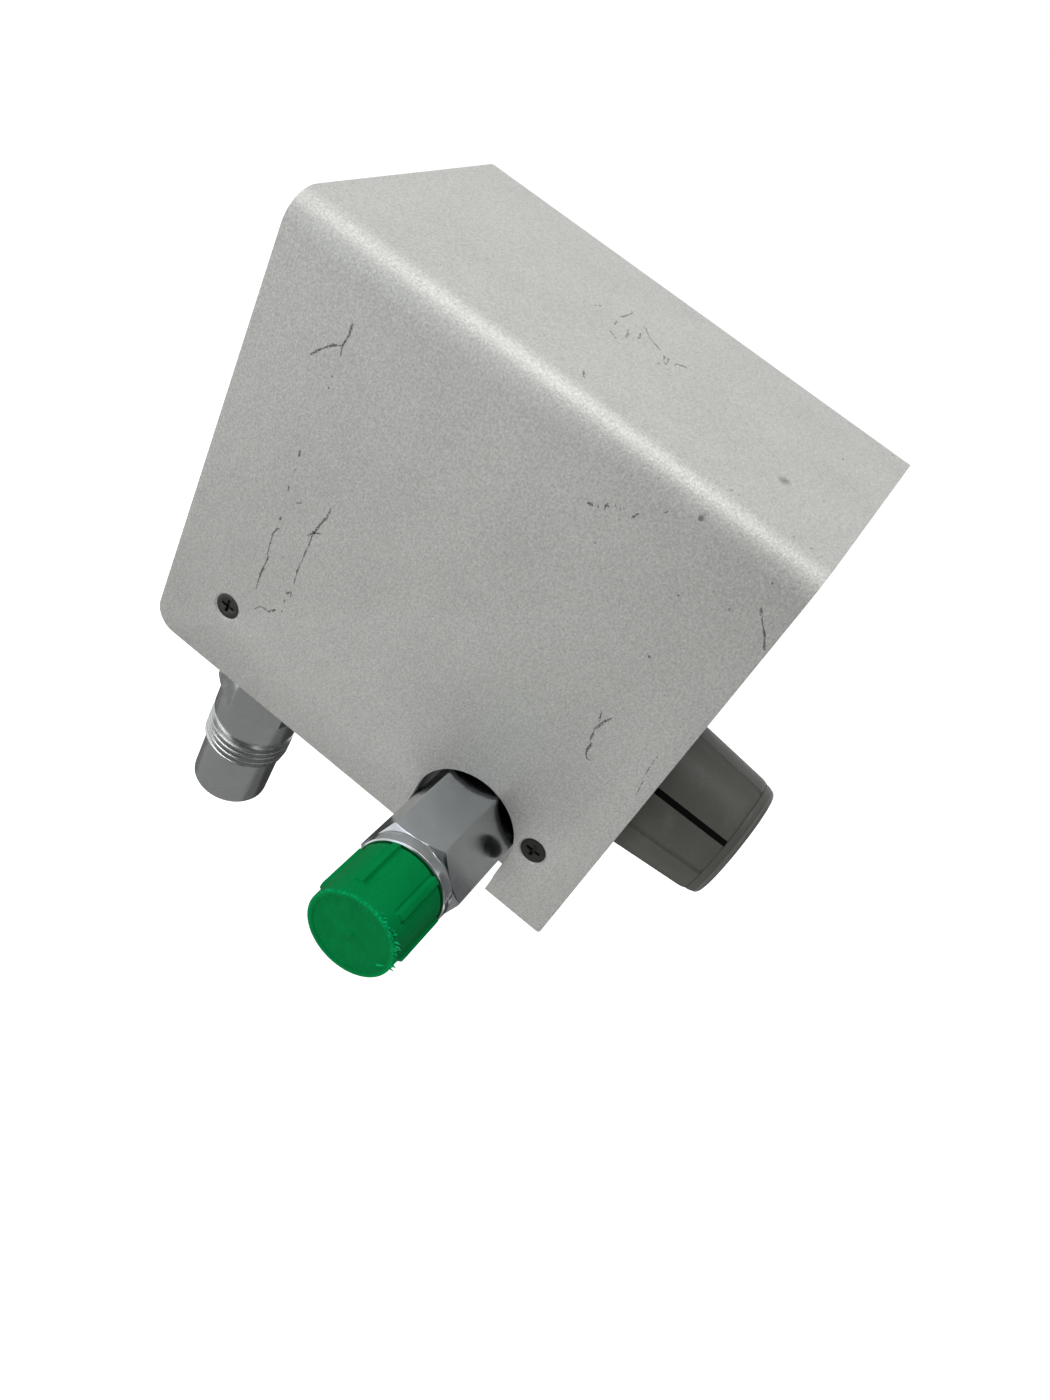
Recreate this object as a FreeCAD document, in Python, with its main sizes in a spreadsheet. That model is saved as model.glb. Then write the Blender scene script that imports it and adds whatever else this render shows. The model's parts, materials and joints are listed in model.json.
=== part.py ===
"""Air oxygen blender for a wall or a pole, in millimetres.

Frame: the origin is the centre of the back's mounting pattern, on its outer face. +Z is up, +Y points to
the wall, and -Y to the person who turns the knob. The capped outlet stands out of the -X side, and the two
gas inlets hang below the bottom, air on the -X side and oxygen on the +X side.
"""
import FreeCAD, Part
import os
import re
import Sketcher

VEC = FreeCAD.Vector

# Driving sizes: name, millimetres, degrees or a count, and what it is.
SIZES = [
    ("box_depth", 104.0, "cover, front edge to back edge"),
    ("box_width", 71.0, "cover, side to side"),
    ("box_height", 96.5, "cover, lower edge to top"),
    ("cover_sheet", 1.5, "cover's steel sheet"),
    ("bend_radius", 6.3, "outside radius of the cover's two long bends"),
    ("rear_corner_radius", 5.0, "lower back corner of each cover side"),
    ("front_corner_radius", 0.8, "lower front corner of each cover side"),
    ("chassis_sheet", 1.5, "chassis's steel sheet"),
    ("chassis_bend", 2.2, "outside radius of the chassis's front bend"),
    ("panel_corner", 5.6, "top corners of the front and back panels"),
    ("top_gap", 0.4, "panels' top edge to the cover"),
    ("front_recess", 0.3, "dial plate behind the cover's front edge"),
    ("plate_thickness", 0.8, "dial plate"),
    ("plate_margin", 0.6, "dial plate's edge to the cover's side"),
    ("front_screw_inset", 10.8, "front cover screw from the front edge"),
    ("front_screw_height", 16.4, "front cover screw above the lower edge"),
    ("rear_screw_inset", 14.75, "rear cover screw from the back edge"),
    ("rear_screw_height", 15.6, "rear cover screw above the lower edge"),
    ("countersink_radius", 3.14, "rim of the countersink in the cover"),
    ("screw_head_radius", 2.8, "cover screw's head"),
    ("screw_radius", 1.4, "cover screw's shank"),
    ("screw_length", 6.0, "cover screw"),
    ("recess_width", 0.65, "arm of the cross recess"),
    ("recess_span", 3.1, "cross recess from arm end to arm end"),
    ("recess_depth", 0.9, "cross recess"),
    ("tab_width", 6.8, "chassis tab behind each cover screw"),
    ("tab_height", 22.0, "chassis tab"),
    ("cover_nut_barrel", 2.1, "clinch nut's radius in the tab"),
    ("cover_nut_flange", 2.9, "clinch nut's radius inside the tab"),
    ("cover_nut_height", 1.5, "clinch nut inside the tab"),
    ("cover_nut_entry", 0.4, "chamfer where the screw enters the nut"),
    ("mount_spacing", 50.0, "back's mounting pattern, both ways"),
    ("mount_bore", 2.1, "threaded bore of the mounting nuts"),
    ("mount_nut_barrel", 3.2, "mounting nut's radius in the back"),
    ("mount_nut_flange", 4.6, "mounting nut's radius inside the back"),
    ("mount_nut_height", 2.6, "mounting nut inside the back"),
    ("fit_gap", 0.04, "radial clearance of parts that seat in a bore"),
    ("run_gap", 0.05, "radial clearance of parts that turn or slide"),
    ("seat_gap", 0.02, "play between a spring and each of its seats"),
    ("turned_edge", 0.4, "small chamfer on turned pieces"),
    ("mouth_edge", 0.4, "chamfer at the mouth of the inlets' and the outlet's bores"),
    ("block_side_gap", 8.5, "manifold block inside the cover's outer side"),
    ("block_height", 32.5, "manifold block"),
    ("mix_bore", 3.0, "mixed gas passage"),
    ("port_clearance", 0.5, "drilled port or screw hole beyond what it takes"),
    ("block_front_gap", 12.0, "manifold block behind the cover's front edge"),
    ("block_rear_gap", 10.0, "manifold block in front of the back edge"),
    ("block_screw_inset", 7.0, "manifold screws from the block's side"),
    ("block_screw_front", 42.0, "front manifold screws from the front edge"),
    ("block_screw_rear", 42.0, "rear manifold screws from the back edge"),
    ("block_screw_radius", 2.0, "manifold screw"),
    ("block_screw_head", 3.5, "manifold screw's head"),
    ("block_screw_head_height", 2.2, "manifold screw's head"),
    ("block_screw_edge", 0.6, "chamfer on the manifold screw's head"),
    ("block_screw_reach", 8.0, "manifold screw inside the block"),
    ("outlet_from_front", 25.4, "outlet axis behind the front edge"),
    ("outlet_height", 11.1, "outlet axis above the lower edge"),
    ("notch_radius", 11.4, "notch in the cover round the outlet"),
    ("hex_across", 19.05, "hexagon bar of the outlet and the inlets"),
    ("outlet_hex_reach", 20.1, "outlet's hexagon beyond the cover's side"),
    ("outlet_hex_turn", 48.4, "a corner of the outlet's hexagon above the back direction"),
    ("hex_chamfer", 1.3, "turned chamfer of the hexagons' corners"),
    ("hex_face_inset", 0.1, "hexagon's turned face inside its flats"),
    ("hex_cut_reach", 1.0, "chamfer tool beyond the hexagon's corners"),
    ("collar_radius", 9.6, "outlet's round collar"),
    ("collar_length", 2.8, "outlet's round collar"),
    ("collar_edge", 0.4, "chamfer on the collar"),
    ("outlet_thread_radius", 7.14, "outlet's male thread"),
    ("outlet_thread_length", 12.3, "outlet's male thread"),
    ("thread_edge", 0.9, "chamfer at the end of a male thread"),
    ("outlet_shank_radius", 6.5, "outlet's shank in the block"),
    ("outlet_shank_length", 9.0, "outlet's shank in the block"),
    ("outlet_bore", 4.6, "outlet's mouth"),
    ("outlet_neck", 3.5, "outlet's bore at its valve seat"),
    ("outlet_chamber", 5.3, "outlet's bore round the spring"),
    ("outlet_seat_station", 14.0, "valve seat from the block's side"),
    ("outlet_neck_length", 4.0, "outlet's neck"),
    ("outlet_poppet_radius", 4.8, "outlet poppet's head"),
    ("outlet_poppet_head", 4.0, "outlet poppet's head, along its axis"),
    ("outlet_stem_radius", 2.0, "outlet poppet's stem"),
    ("outlet_stem_reach", 24.0, "outlet poppet's stem beyond the seat"),
    ("seal_section", 0.42, "section radius of the shank seals"),
    ("seal_inset", 2.0, "shank seal from the shank's inner end"),
    ("cap_gap", 0.3, "cap's open end to the collar"),
    ("cap_length", 15.1, "outlet cap"),
    ("cap_open_radius", 9.1, "cap at its open end"),
    ("cap_end_radius", 9.0, "cap at its closed end"),
    ("cap_edge", 0.5, "rounded edge of the closed end"),
    ("cap_bore", 7.5, "cap's hollow"),
    ("cap_hollow", 13.2, "depth of the cap's hollow"),
    ("cap_rim_width", 0.8, "raised rim round the closed end"),
    ("cap_rim_height", 0.25, "raised rim round the closed end"),
    ("cap_rib_width", 1.7, "cap's ribs"),
    ("cap_rib_radius", 9.7, "cap's ribs, axis to top"),
    ("cap_rib_length", 11.6, "cap's ribs from the open end"),
    ("cap_rib_root", 0.6, "ribs sunk in the cap's wall"),
    ("cap_rib_count", 6, "cap's ribs"),
    ("cap_rib_turn", 4.0, "first rib above the back direction"),
    ("cap_nub_radius", 0.6, "moulding nub in the closed end"),
    ("inlet_from_side", 11.5, "inlet axes inside the cover's outer side"),
    ("inlet_from_rear", 24.55, "inlet axes in front of the back edge"),
    ("inlet_hex_turn", 6.0, "a corner of the inlets' hexagon from the +X direction"),
    ("inlet_hex_length", 9.0, "inlet's hexagon below the bottom"),
    ("inlet_body_length", 6.5, "inlet's round body below the hexagon"),
    ("inlet_body_step", 0.05, "inlet's round body inside the hexagon's flats"),
    ("inlet_neck_length", 1.3, "undercut above the thread"),
    ("inlet_neck_depth", 0.7, "undercut above the thread"),
    ("inlet_thread_length", 7.6, "inlet's male thread"),
    ("inlet_thread_edge", 0.8, "chamfer at the end of an inlet's thread"),
    ("air_thread_radius", 9.525, "air inlet's male thread"),
    ("air_nose_radius", 8.55, "air inlet's plain nose"),
    ("oxygen_thread_radius", 7.14, "oxygen inlet's male thread"),
    ("oxygen_nose_radius", 6.5, "oxygen inlet's plain nose"),
    ("nose_length", 13.3, "inlet's plain nose"),
    ("nose_edge", 1.1, "rounded end of the nose"),
    ("inlet_shank_radius", 7.5, "inlet's shank in the block"),
    ("inlet_shank_length", 12.0, "inlet's shank above the bottom's outer face"),
    ("inlet_hole_gap", 0.3, "inlet's shank to the chassis"),
    ("inlet_boss_radius", 8.9, "block's boss round the inlet's shank"),
    ("inlet_boss_height", 13.5, "block's boss round the inlet's shank"),
    ("nose_bore", 5.0, "inlet's passage up to the filter"),
    ("filter_station", 17.5, "filter's upper face below the bottom"),
    ("filter_height", 2.5, "sintered filter"),
    ("filter_radius", 4.5, "sintered filter"),
    ("seat_bore", 3.6, "inlet's passage at the check seat"),
    ("check_station", 6.0, "check seat below the bottom"),
    ("check_bore", 5.4, "inlet's bore round the check valve"),
    ("check_poppet_radius", 4.7, "check poppet"),
    ("check_poppet_height", 3.0, "check poppet"),
    ("poppet_nose", 0.5, "check poppet's nose in its seat"),
    ("check_retainer_height", 1.6, "ring that holds the check spring"),
    ("check_retainer_bore", 2.6, "ring that holds the check spring"),
    ("knob_height", 21.3, "knob axis above the lower edge"),
    ("knob_gap", 0.5, "knob to the dial plate"),
    ("knob_base_radius", 15.8, "knob at the dial plate"),
    ("knob_end_radius", 14.2, "knob body at its cap"),
    ("knob_length", 17.8, "knob body"),
    ("knob_edge", 0.4, "chamfer at the knob's base"),
    ("knob_cap_radius", 13.9, "knob's end cap at its seam"),
    ("knob_cap_length", 2.8, "knob's end cap"),
    ("knob_cap_edge", 1.8, "rounded edge of the end cap"),
    ("knob_cap_crown", 0.2, "rise of the end cap's middle"),
    ("knob_cap_spigot", 1.2, "end cap inside the knob"),
    ("knob_seam_depth", 0.3, "seam between the knob and its end cap"),
    ("knob_seam_width", 0.25, "seam between the knob and its end cap"),
    ("knob_pocket_radius", 7.5, "knob's pocket for the collet"),
    ("knob_pocket_depth", 5.0, "knob's pocket for the collet"),
    ("knob_recess_radius", 10.0, "knob's hollow over the bushing nut"),
    ("knob_recess_depth", 4.2, "knob's hollow over the bushing nut"),
    ("knob_core_bore", 4.5, "knob's bore for the collet"),
    ("knob_pointer_rise", 32.0, "pointer at rest above the -X direction"),
    ("pointer_width", 1.35, "knob's pointer line"),
    ("pointer_depth", 0.7, "knob's pointer line"),
    ("pointer_side_gap", 0.015, "pointer line to each side of its slot"),
    ("knob_groove_radius", 1.1, "knob's four grip grooves"),
    ("knob_groove_depth", 0.45, "knob's four grip grooves"),
    ("knob_groove_turn", 31.0, "first grip groove from the pointer"),
    ("collet_head_across", 11.0, "collet nut's hexagon"),
    ("collet_head_height", 3.0, "collet nut"),
    ("collet_length", 9.0, "collet in the knob"),
    ("shaft_radius", 3.0, "control shaft"),
    ("shaft_in_knob", 15.0, "control shaft beyond the knob's base"),
    ("stop_travel", 270.0, "knob's whole turn"),
    ("stop_rest", 77.0, "knob at rest, from the low end of its turn"),
    ("stop_tooth", 30.0, "fixed stop tooth"),
    ("stop_play", 1.0, "angle left at each stop"),
    ("stop_core", 3.8, "control shaft's collar under its lug"),
    ("stop_lug", 5.8, "control shaft's stop lug"),
    ("stop_ring_bore", 6.2, "stop ring inside its tooth"),
    ("stop_ring_height", 2.5, "stop ring and lug along the shaft"),
    ("stop_tooth_root", 0.5, "stop tooth sunk in its ring"),
    ("bushing_radius", 4.7, "panel bushing's barrel"),
    ("bushing_flange_radius", 8.0, "panel bushing's flange"),
    ("bushing_flange", 2.0, "panel bushing's flange along the shaft"),
    ("bushing_front", 3.6, "panel bushing in front of the dial plate"),
    ("nut_across", 13.0, "bushing nut's hexagon"),
    ("nut_height", 2.4, "bushing nut"),
    ("nut_chamfer", 0.8, "chamfer on the bushing nut's corners"),
    ("sleeve_radius", 8.0, "proportioning sleeve"),
    ("sleeve_bore", 5.2, "proportioning sleeve's bore"),
    ("sleeve_length", 36.0, "proportioning sleeve in the block"),
    ("sleeve_flange_radius", 11.0, "sleeve's flange on the block"),
    ("sleeve_flange", 3.0, "sleeve's flange"),
    ("gland_length", 3.0, "sleeve's wall round the shaft, in the block"),
    ("oxygen_seat_station", 12.0, "oxygen seat behind the block's front"),
    ("seat_thickness", 1.5, "both seats"),
    ("seat_hole", 3.2, "both seats"),
    ("bobbin_length", 5.0, "spool's bobbin between the seats"),
    ("bobbin_radius", 4.3, "spool's bobbin"),
    ("bobbin_relief", 0.6, "hollow in the bobbin's ends"),
    ("bobbin_edge", 0.2, "bobbin's seat edge to each side of the seat's hole"),
    ("spool_travel", 3.0, "spool's whole travel"),
    ("seat_play", 0.05, "bobbin to a seat at each end of its travel"),
    ("spool_stem", 1.5, "spool's stem"),
    ("spool_cup_radius", 4.2, "spool's driven nut"),
    ("spool_cup_start", 4.2, "driven nut behind the block's front, at rest"),
    ("spool_cup_length", 5.2, "spool's driven nut"),
    ("spool_thread_depth", 4.75, "driven nut's thread"),
    ("spool_tail", 2.0, "spool's stem behind the air seat"),
    ("spool_collar_radius", 3.4, "spool's spring collar"),
    ("spool_collar_length", 1.0, "spool's spring collar"),
    ("drive_screw_radius", 2.0, "control shaft's screw"),
    ("drive_screw_length", 4.8, "control shaft's screw"),
    ("guide_pin_radius", 0.8, "pin that keeps the spool from turning"),
    ("guide_pin_station", 7.6, "guide pin behind the block's front"),
    ("guide_pin_gap", 0.3, "guide pin to the floor of its slot"),
    ("guide_pin_recess", 0.9, "guide pin below the sleeve's surface"),
    ("guide_slot_floor", 3.2, "floor of the spool's slot from the axis"),
    ("plug_length", 4.0, "sleeve's end plug"),
    ("plug_recess", 2.0, "hollow in the end plug"),
    ("oxygen_port_station", 7.0, "oxygen port behind the block's front"),
    ("mix_port_station", 17.5, "mixed gas port behind the block's front"),
    ("air_port_station", 26.5, "air port behind the block's front"),
    ("port_radius", 1.8, "ports in the sleeve"),
    ("port_groove_depth", 0.8, "grooves round the sleeve at its ports"),
    ("port_groove_half", 3.0, "grooves round the sleeve, half of their width"),
    ("sleeve_seal_section", 0.66, "section radius of the sleeve's seals"),
    ("front_seal_station", 1.6, "sleeve's first seal behind the block's front"),
    ("end_seal_gap", 5.5, "sleeve's last seal behind the air port"),
    ("passage_radius", 2.0, "drilled gas passages"),
    ("supply_height", 25.5, "supply passages above the block's foot"),
    ("supply_inset", 2.0, "supply passages inside the inlet axes"),
    ("balance_radius", 15.0, "balance module's housings"),
    ("balance_flange_radius", 19.0, "balance module's clamped flange"),
    ("balance_flange", 4.0, "flange along the axis, each housing"),
    ("balance_length", 20.0, "each balance housing"),
    ("balance_edge", 2.0, "chamfer on the housings' ends"),
    ("balance_foot_inset", 3.0, "housings' foot inside the block's side"),
    ("balance_foot_height", 6.0, "housings' foot"),
    ("balance_chamber_radius", 13.0, "diaphragm chamber"),
    ("balance_chamber_depth", 2.6, "diaphragm chamber, each housing"),
    ("diaphragm_thickness", 1.0, "balance diaphragm"),
    ("diaphragm_inset", 0.3, "diaphragm inside the clamped flange"),
    ("balance_disc_radius", 8.0, "spool's plates on the diaphragm"),
    ("balance_disc", 1.0, "spool's plates on the diaphragm"),
    ("balance_stem", 2.2, "balance spool's stem"),
    ("balance_seat_bore", 3.4, "balance seats"),
    ("balance_seat_station", 8.8, "balance seats from the middle"),
    ("balance_travel", 0.6, "balance spool, each way"),
    ("balance_head_radius", 4.3, "balance spool's heads"),
    ("balance_head", 2.0, "balance spool's heads"),
    ("head_gap", 0.1, "balance spool's heads to their seats at the end of the travel"),
    ("balance_spring_bore", 5.0, "bore round the balance springs"),
    ("balance_spring_end", 17.0, "end of the spring bore from the middle"),
    ("balance_screw_circle", 17.0, "clamp screws from the axis"),
    ("balance_screw_radius", 1.25, "clamp screws"),
    ("balance_screw_head", 1.9, "clamp screws' heads"),
    ("balance_screw_head_height", 2.0, "clamp screws' heads"),
    ("balance_screw_count", 3, "clamp screws"),
    ("foot_screw_side", 4.0, "foot screws from the foot's side"),
    ("foot_screw_inset", 6.5, "foot screws from the housing's outer end"),
    ("foot_screw_radius", 1.6, "foot screws"),
    ("foot_screw_head", 2.8, "foot screws' heads"),
    ("foot_screw_head_height", 2.5, "foot screws' heads"),
    ("foot_screw_reach", 4.0, "foot screws in the block"),
    ("alarm_gap", 3.25, "alarm housing's foot behind the balance module"),
    ("alarm_radius", 9.0, "alarm housing"),
    ("alarm_flange_radius", 12.0, "alarm housing's foot"),
    ("alarm_flange", 3.0, "alarm housing's foot"),
    ("alarm_height", 24.0, "alarm housing"),
    ("alarm_bore", 5.5, "alarm housing's bore"),
    ("alarm_floor", 4.0, "alarm housing's floor"),
    ("alarm_port_depth", 8.0, "alarm's port in the block"),
    ("alarm_poppet_height", 4.0, "alarm poppet"),
    ("alarm_poppet_travel", 3.0, "alarm poppet"),
    ("reed_thickness", 1.2, "alarm's reed plate"),
    ("reed_slot_width", 0.8, "slots in the reed plate"),
    ("reed_slot_length", 9.0, "slots in the reed plate"),
    ("reed_slot_shift", 2.0, "slots from the plate's middle"),
    ("wire_size", 0.6, "square spring wire"),
    ("stiff_wire_size", 0.8, "square wire of the outlet and alarm springs"),
]

# Faces and axes that several pieces share, written with the names above.
TOP = "(box_height / 2)"
BOTTOM = "(-box_height / 2)"
SIDE = "(box_width / 2)"
SIDE_INSIDE = "(box_width / 2 - cover_sheet)"
PLATE_FACE = "(front_recess - box_depth)"
PANEL_FACE = "(front_recess + plate_thickness - box_depth)"
PANEL_INSIDE = "(front_recess + plate_thickness + chassis_sheet - box_depth)"
PANEL_TOP = "(box_height / 2 - cover_sheet - top_gap)"
OUTLET_Y = "(outlet_from_front - box_depth)"
BLOCK_SIDE = "(box_width / 2 - block_side_gap)"
INLET_X = "(box_width / 2 - inlet_from_side)"
BLOCK_SCREW_X = f"({BLOCK_SIDE} - block_screw_inset)"
SUPPLY_X = f"({INLET_X} - supply_inset)"
FOOT_SIDE = f"({BLOCK_SIDE} - balance_foot_inset)"
FOOT_SCREW_X = f"({FOOT_SIDE} - foot_screw_side)"
OUTLET_Z = "(outlet_height - box_height / 2)"
KNOB_Z = "(knob_height - box_height / 2)"
BLOCK_FRONT = "(block_front_gap - box_depth)"
BLOCK_FOOT = "(chassis_sheet - box_height / 2)"
BLOCK_TOP = "(chassis_sheet + block_height - box_height / 2)"
HEX_CORNER = "(hex_across / sqrt(3))"
HEX_CLEAR = "(hex_across / sqrt(3) + hex_cut_reach)"
INLET_BODY = "(hex_across / 2 - inlet_body_step)"
NUT_CLEAR = "(nut_across / sqrt(3) + hex_cut_reach)"
OUTLET_HEX = "(block_side_gap + outlet_hex_reach)"
OUTLET_COLLAR_END = f"({OUTLET_HEX} + collar_length)"
OUTLET_END = f"({OUTLET_COLLAR_END} + outlet_thread_length)"
NOSE_END = "(inlet_hex_length + inlet_body_length + inlet_neck_length + inlet_thread_length + nose_length)"
CHECK_TOP = "(inlet_shank_length - check_retainer_height)"
LOW_TRAVEL = "(spool_travel * stop_rest / stop_travel)"
MIX_START = "(oxygen_seat_station + seat_thickness)"
MIX_LENGTH = "(bobbin_length + spool_travel + 2 * seat_play)"
AIR_SEAT = f"({MIX_START} + {MIX_LENGTH})"
BOBBIN_START = f"({MIX_START} + seat_play + {LOW_TRAVEL})"
SPOOL_COLLAR = f"({AIR_SEAT} + seat_thickness + spool_tail)"
BALANCE_Y = "(block_front_gap - box_depth + (oxygen_port_station + air_port_station) / 2)"
BALANCE_Z = "(chassis_sheet + block_height + balance_flange_radius - box_height / 2)"
BALANCE_HEAD = "(balance_seat_station + balance_travel + head_gap)"
ALARM_Y = f"({BALANCE_Y} + balance_length + alarm_gap + alarm_flange_radius)"

# Points on a rounded edge, as shares of its radius from the two faces that it joins.
BEND = 0.3
CAP_BEND = [(0, 1), (0.12, 0.55), (0.45, 0.14), (1, 0)]

# Each direction's own axes: what lies along it turns so that its local z axis points that way.
DIRECTIONS = {
    "+Z": ((1, 0, 0), (0, 1, 0), (0, 0, 1)),
    "-Z": ((1, 0, 0), (0, -1, 0), (0, 0, -1)),
    "+Y": ((1, 0, 0), (0, 0, -1), (0, 1, 0)),
    "-Y": ((1, 0, 0), (0, 0, 1), (0, -1, 0)),
    "+X": ((0, 1, 0), (0, 0, 1), (1, 0, 0)),
    "-X": ((0, 1, 0), (0, 0, -1), (-1, 0, 0)),
}
ORIGIN = ("0", "0", "0")

doc = FreeCAD.newDocument("AirOxygenBlender")
sheet = doc.addObject("Spreadsheet::Sheet", "Sizes")
for row, (name, size, note) in enumerate(SIZES, 1):
    sheet.set(f"A{row}", name)
    sheet.set(f"B{row}", str(size))
    sheet.set(f"C{row}", note)
    sheet.setAlias(f"B{row}", name)
doc.recompute()
SIZE_NAMES = {name for name, size, note in SIZES}
nodes = {}


def bound(text):
    """Write an expression in plain size names as one that reads the sheet."""
    def cell(match):
        word = match.group(0)
        return "Sizes." + word if word in SIZE_NAMES else word
    return re.sub(r"[a-z][a-z_]*", cell, str(text))


def value(text):
    """Give the number that an expression in size names stands for now."""
    return float(sheet.evalExpression(bound(text)))


def bind(thing, key, text):
    """Tie one property to the sheet, or set it where the text is a plain number."""
    if any(word in SIZE_NAMES for word in re.findall(r"[a-z][a-z_]*", str(text))):
        thing.setExpression(key, bound(text))
    else:
        holder, _, last = key.rpartition(".")
        if holder == "Placement.Base":
            setattr(thing.Placement.Base, last, float(text))
        else:
            setattr(thing, key, float(text))


def place(thing, at, along="+Z", turn="0"):
    """Put a thing at a point, with its z axis along a direction, turned about that axis in degrees."""
    x_axis, y_axis, z_axis = [VEC(*axis) for axis in DIRECTIONS[along]]
    rotation = FreeCAD.Rotation(x_axis, y_axis, z_axis, "ZXY")
    rotation = rotation.multiply(FreeCAD.Rotation(VEC(0, 0, 1), value(turn)))
    thing.Placement = FreeCAD.Placement(VEC(*[value(text) for text in at]), rotation)
    for axis, text in zip("xyz", at):
        if any(word in SIZE_NAMES for word in re.findall(r"[a-z][a-z_]*", text)):
            thing.setExpression(f"Placement.Base.{axis}", bound(text))


def new_body(label, at=ORIGIN, along="+Z", turn="0", node=True):
    """Start a piece as a body with a label and a place of its own."""
    made = doc.addObject("PartDesign::Body", label)
    made.Label = label
    place(made, at, along, turn)
    if node:
        nodes[label] = made
    return made


def add(body, kind, name, at=ORIGIN, along="+Z", turn="0", **sizes):
    """Add or cut a box, cylinder, cone or prism in a body."""
    made = body.newObject("PartDesign::" + kind, name)
    for key, text in sizes.items():
        bind(made, key, text)
    place(made, at, along, turn)
    return made


def outline(body, name, points, plane="XZ_Plane"):
    """Draw a closed outline whose corners are tied to the sheet, on one of the body's own planes."""
    sketch = body.newObject("Sketcher::SketchObject", name)
    support = next(face for face in body.Origin.OriginFeatures if face.Role == plane)
    sketch.AttachmentSupport = [(support, "")]
    sketch.MapMode = "FlatFace"
    corners = [(value(across), value(up)) for across, up in points]
    for start, end in zip(corners, corners[1:] + corners[:1]):
        sketch.addGeometry(Part.LineSegment(VEC(*start, 0), VEC(*end, 0)), False)
    for side in range(len(points)):
        following = (side + 1) % len(points)
        sketch.addConstraint(Sketcher.Constraint("Coincident", side, 2, following, 1))
    for side, (texts, numbers) in enumerate(zip(points, corners)):
        for kind, axis, text, number in zip(("DistanceX", "DistanceY"), (-2, -1), texts, numbers):
            if abs(number) < 1e-9:
                sketch.addConstraint(Sketcher.Constraint("PointOnObject", side, 1, axis))
            else:
                rule = sketch.addConstraint(Sketcher.Constraint(kind, -1, 1, side, 1, number))
                sketch.setExpression(f"Constraints[{rule}]", bound(text))
    return sketch


def turned(body, name, points, cut=False, angle=None):
    """Turn an outline of (radius, station) corners about the body's z axis."""
    profile = outline(body, name + "_outline", points)
    made = body.newObject("PartDesign::Groove" if cut else "PartDesign::Revolution", name)
    made.Profile = profile
    made.ReferenceAxis = (profile, ["V_Axis"])
    if angle is None:
        made.Angle = 360.0
    else:
        made.Midplane = True
        made.setExpression("Angle", bound(angle))
    return made


def edges_at(feature, points):
    """Name the edges of a feature whose middles lie at the given points."""
    doc.recompute()
    found = []
    targets = [VEC(*[value(text) for text in point]) for point in points]
    for number, edge in enumerate(feature.Shape.Edges, 1):
        middle = edge.valueAt((edge.FirstParameter + edge.LastParameter) / 2)
        if any(middle.distanceToPoint(target) < 1e-3 for target in targets):
            found.append(f"Edge{number}")
    if len(found) != len(points):
        raise ValueError(f"{feature.Label}: {len(found)} of {len(points)} edges found")
    return found


def rounded(body, name, base, radius, points):
    """Round the edges of a feature whose middles lie at the given points."""
    made = body.newObject("PartDesign::Fillet", name)
    made.Base = (base, edges_at(base, points))
    made.setExpression("Radius", bound(radius))
    return made


def repeated(body, name, feature, count):
    """Repeat a feature about the body's z axis."""
    axis = next(face for face in body.Origin.OriginFeatures if face.Role == "Z_Axis")
    made = body.newObject("PartDesign::PolarPattern", name)
    made.Originals = [feature]
    made.Axis = (axis, [""])
    made.Angle = 360.0
    made.setExpression("Occurrences", bound(count))
    body.Tip = made
    return made


def seal_ring(label, at, along, outside, section, node=True):
    """Make a rubber ring of square section, its middle at the given point."""
    body = new_body(label, at, along, node=node)
    bore = f"{outside} - 2 * {section}"
    turned(body, "shape", [
        (bore, f"-{section}"), (outside, f"-{section}"), (outside, section), (bore, section)])
    return body


def group(label, members):
    """Keep like pieces as separate solids in one node."""
    made = doc.addObject("Part::Compound", label)
    made.Label = label
    made.Links = members
    nodes[label] = made


def spring(label, at, along, length, coil_radius, wire, turns):
    """Wind a square wire spring whose first seat is at the given point."""
    body = new_body(label, at, along)
    inner, low, high = f"{coil_radius} - {wire}", "seat_gap", f"seat_gap + {wire}"
    section = outline(body, "wire", [(inner, low), (coil_radius, low), (coil_radius, high), (inner, high)])
    coil = body.newObject("PartDesign::AdditiveHelix", "coil")
    coil.Profile = section
    coil.ReferenceAxis = (section, ["V_Axis"])
    coil.Mode = "height-turns-angle"
    coil.Turns = turns
    coil.setExpression("Height", bound(f"{length} - {wire} - 2 * seat_gap"))


def cover_screw_places():
    """Give the height and depth of the two screws of one side."""
    front = ("front_screw_inset - box_depth", "front_screw_height - box_height / 2")
    rear = ("-rear_screw_inset", "rear_screw_height - box_height / 2")
    return [("front", *front), ("rear", *rear)]


SIDES = [("left", "-", "+X", "-X"), ("right", "", "-X", "+X")]
BLOCK_SCREW_Y = {"front": "(block_screw_front - box_depth)", "rear": "(-block_screw_rear)"}


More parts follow.
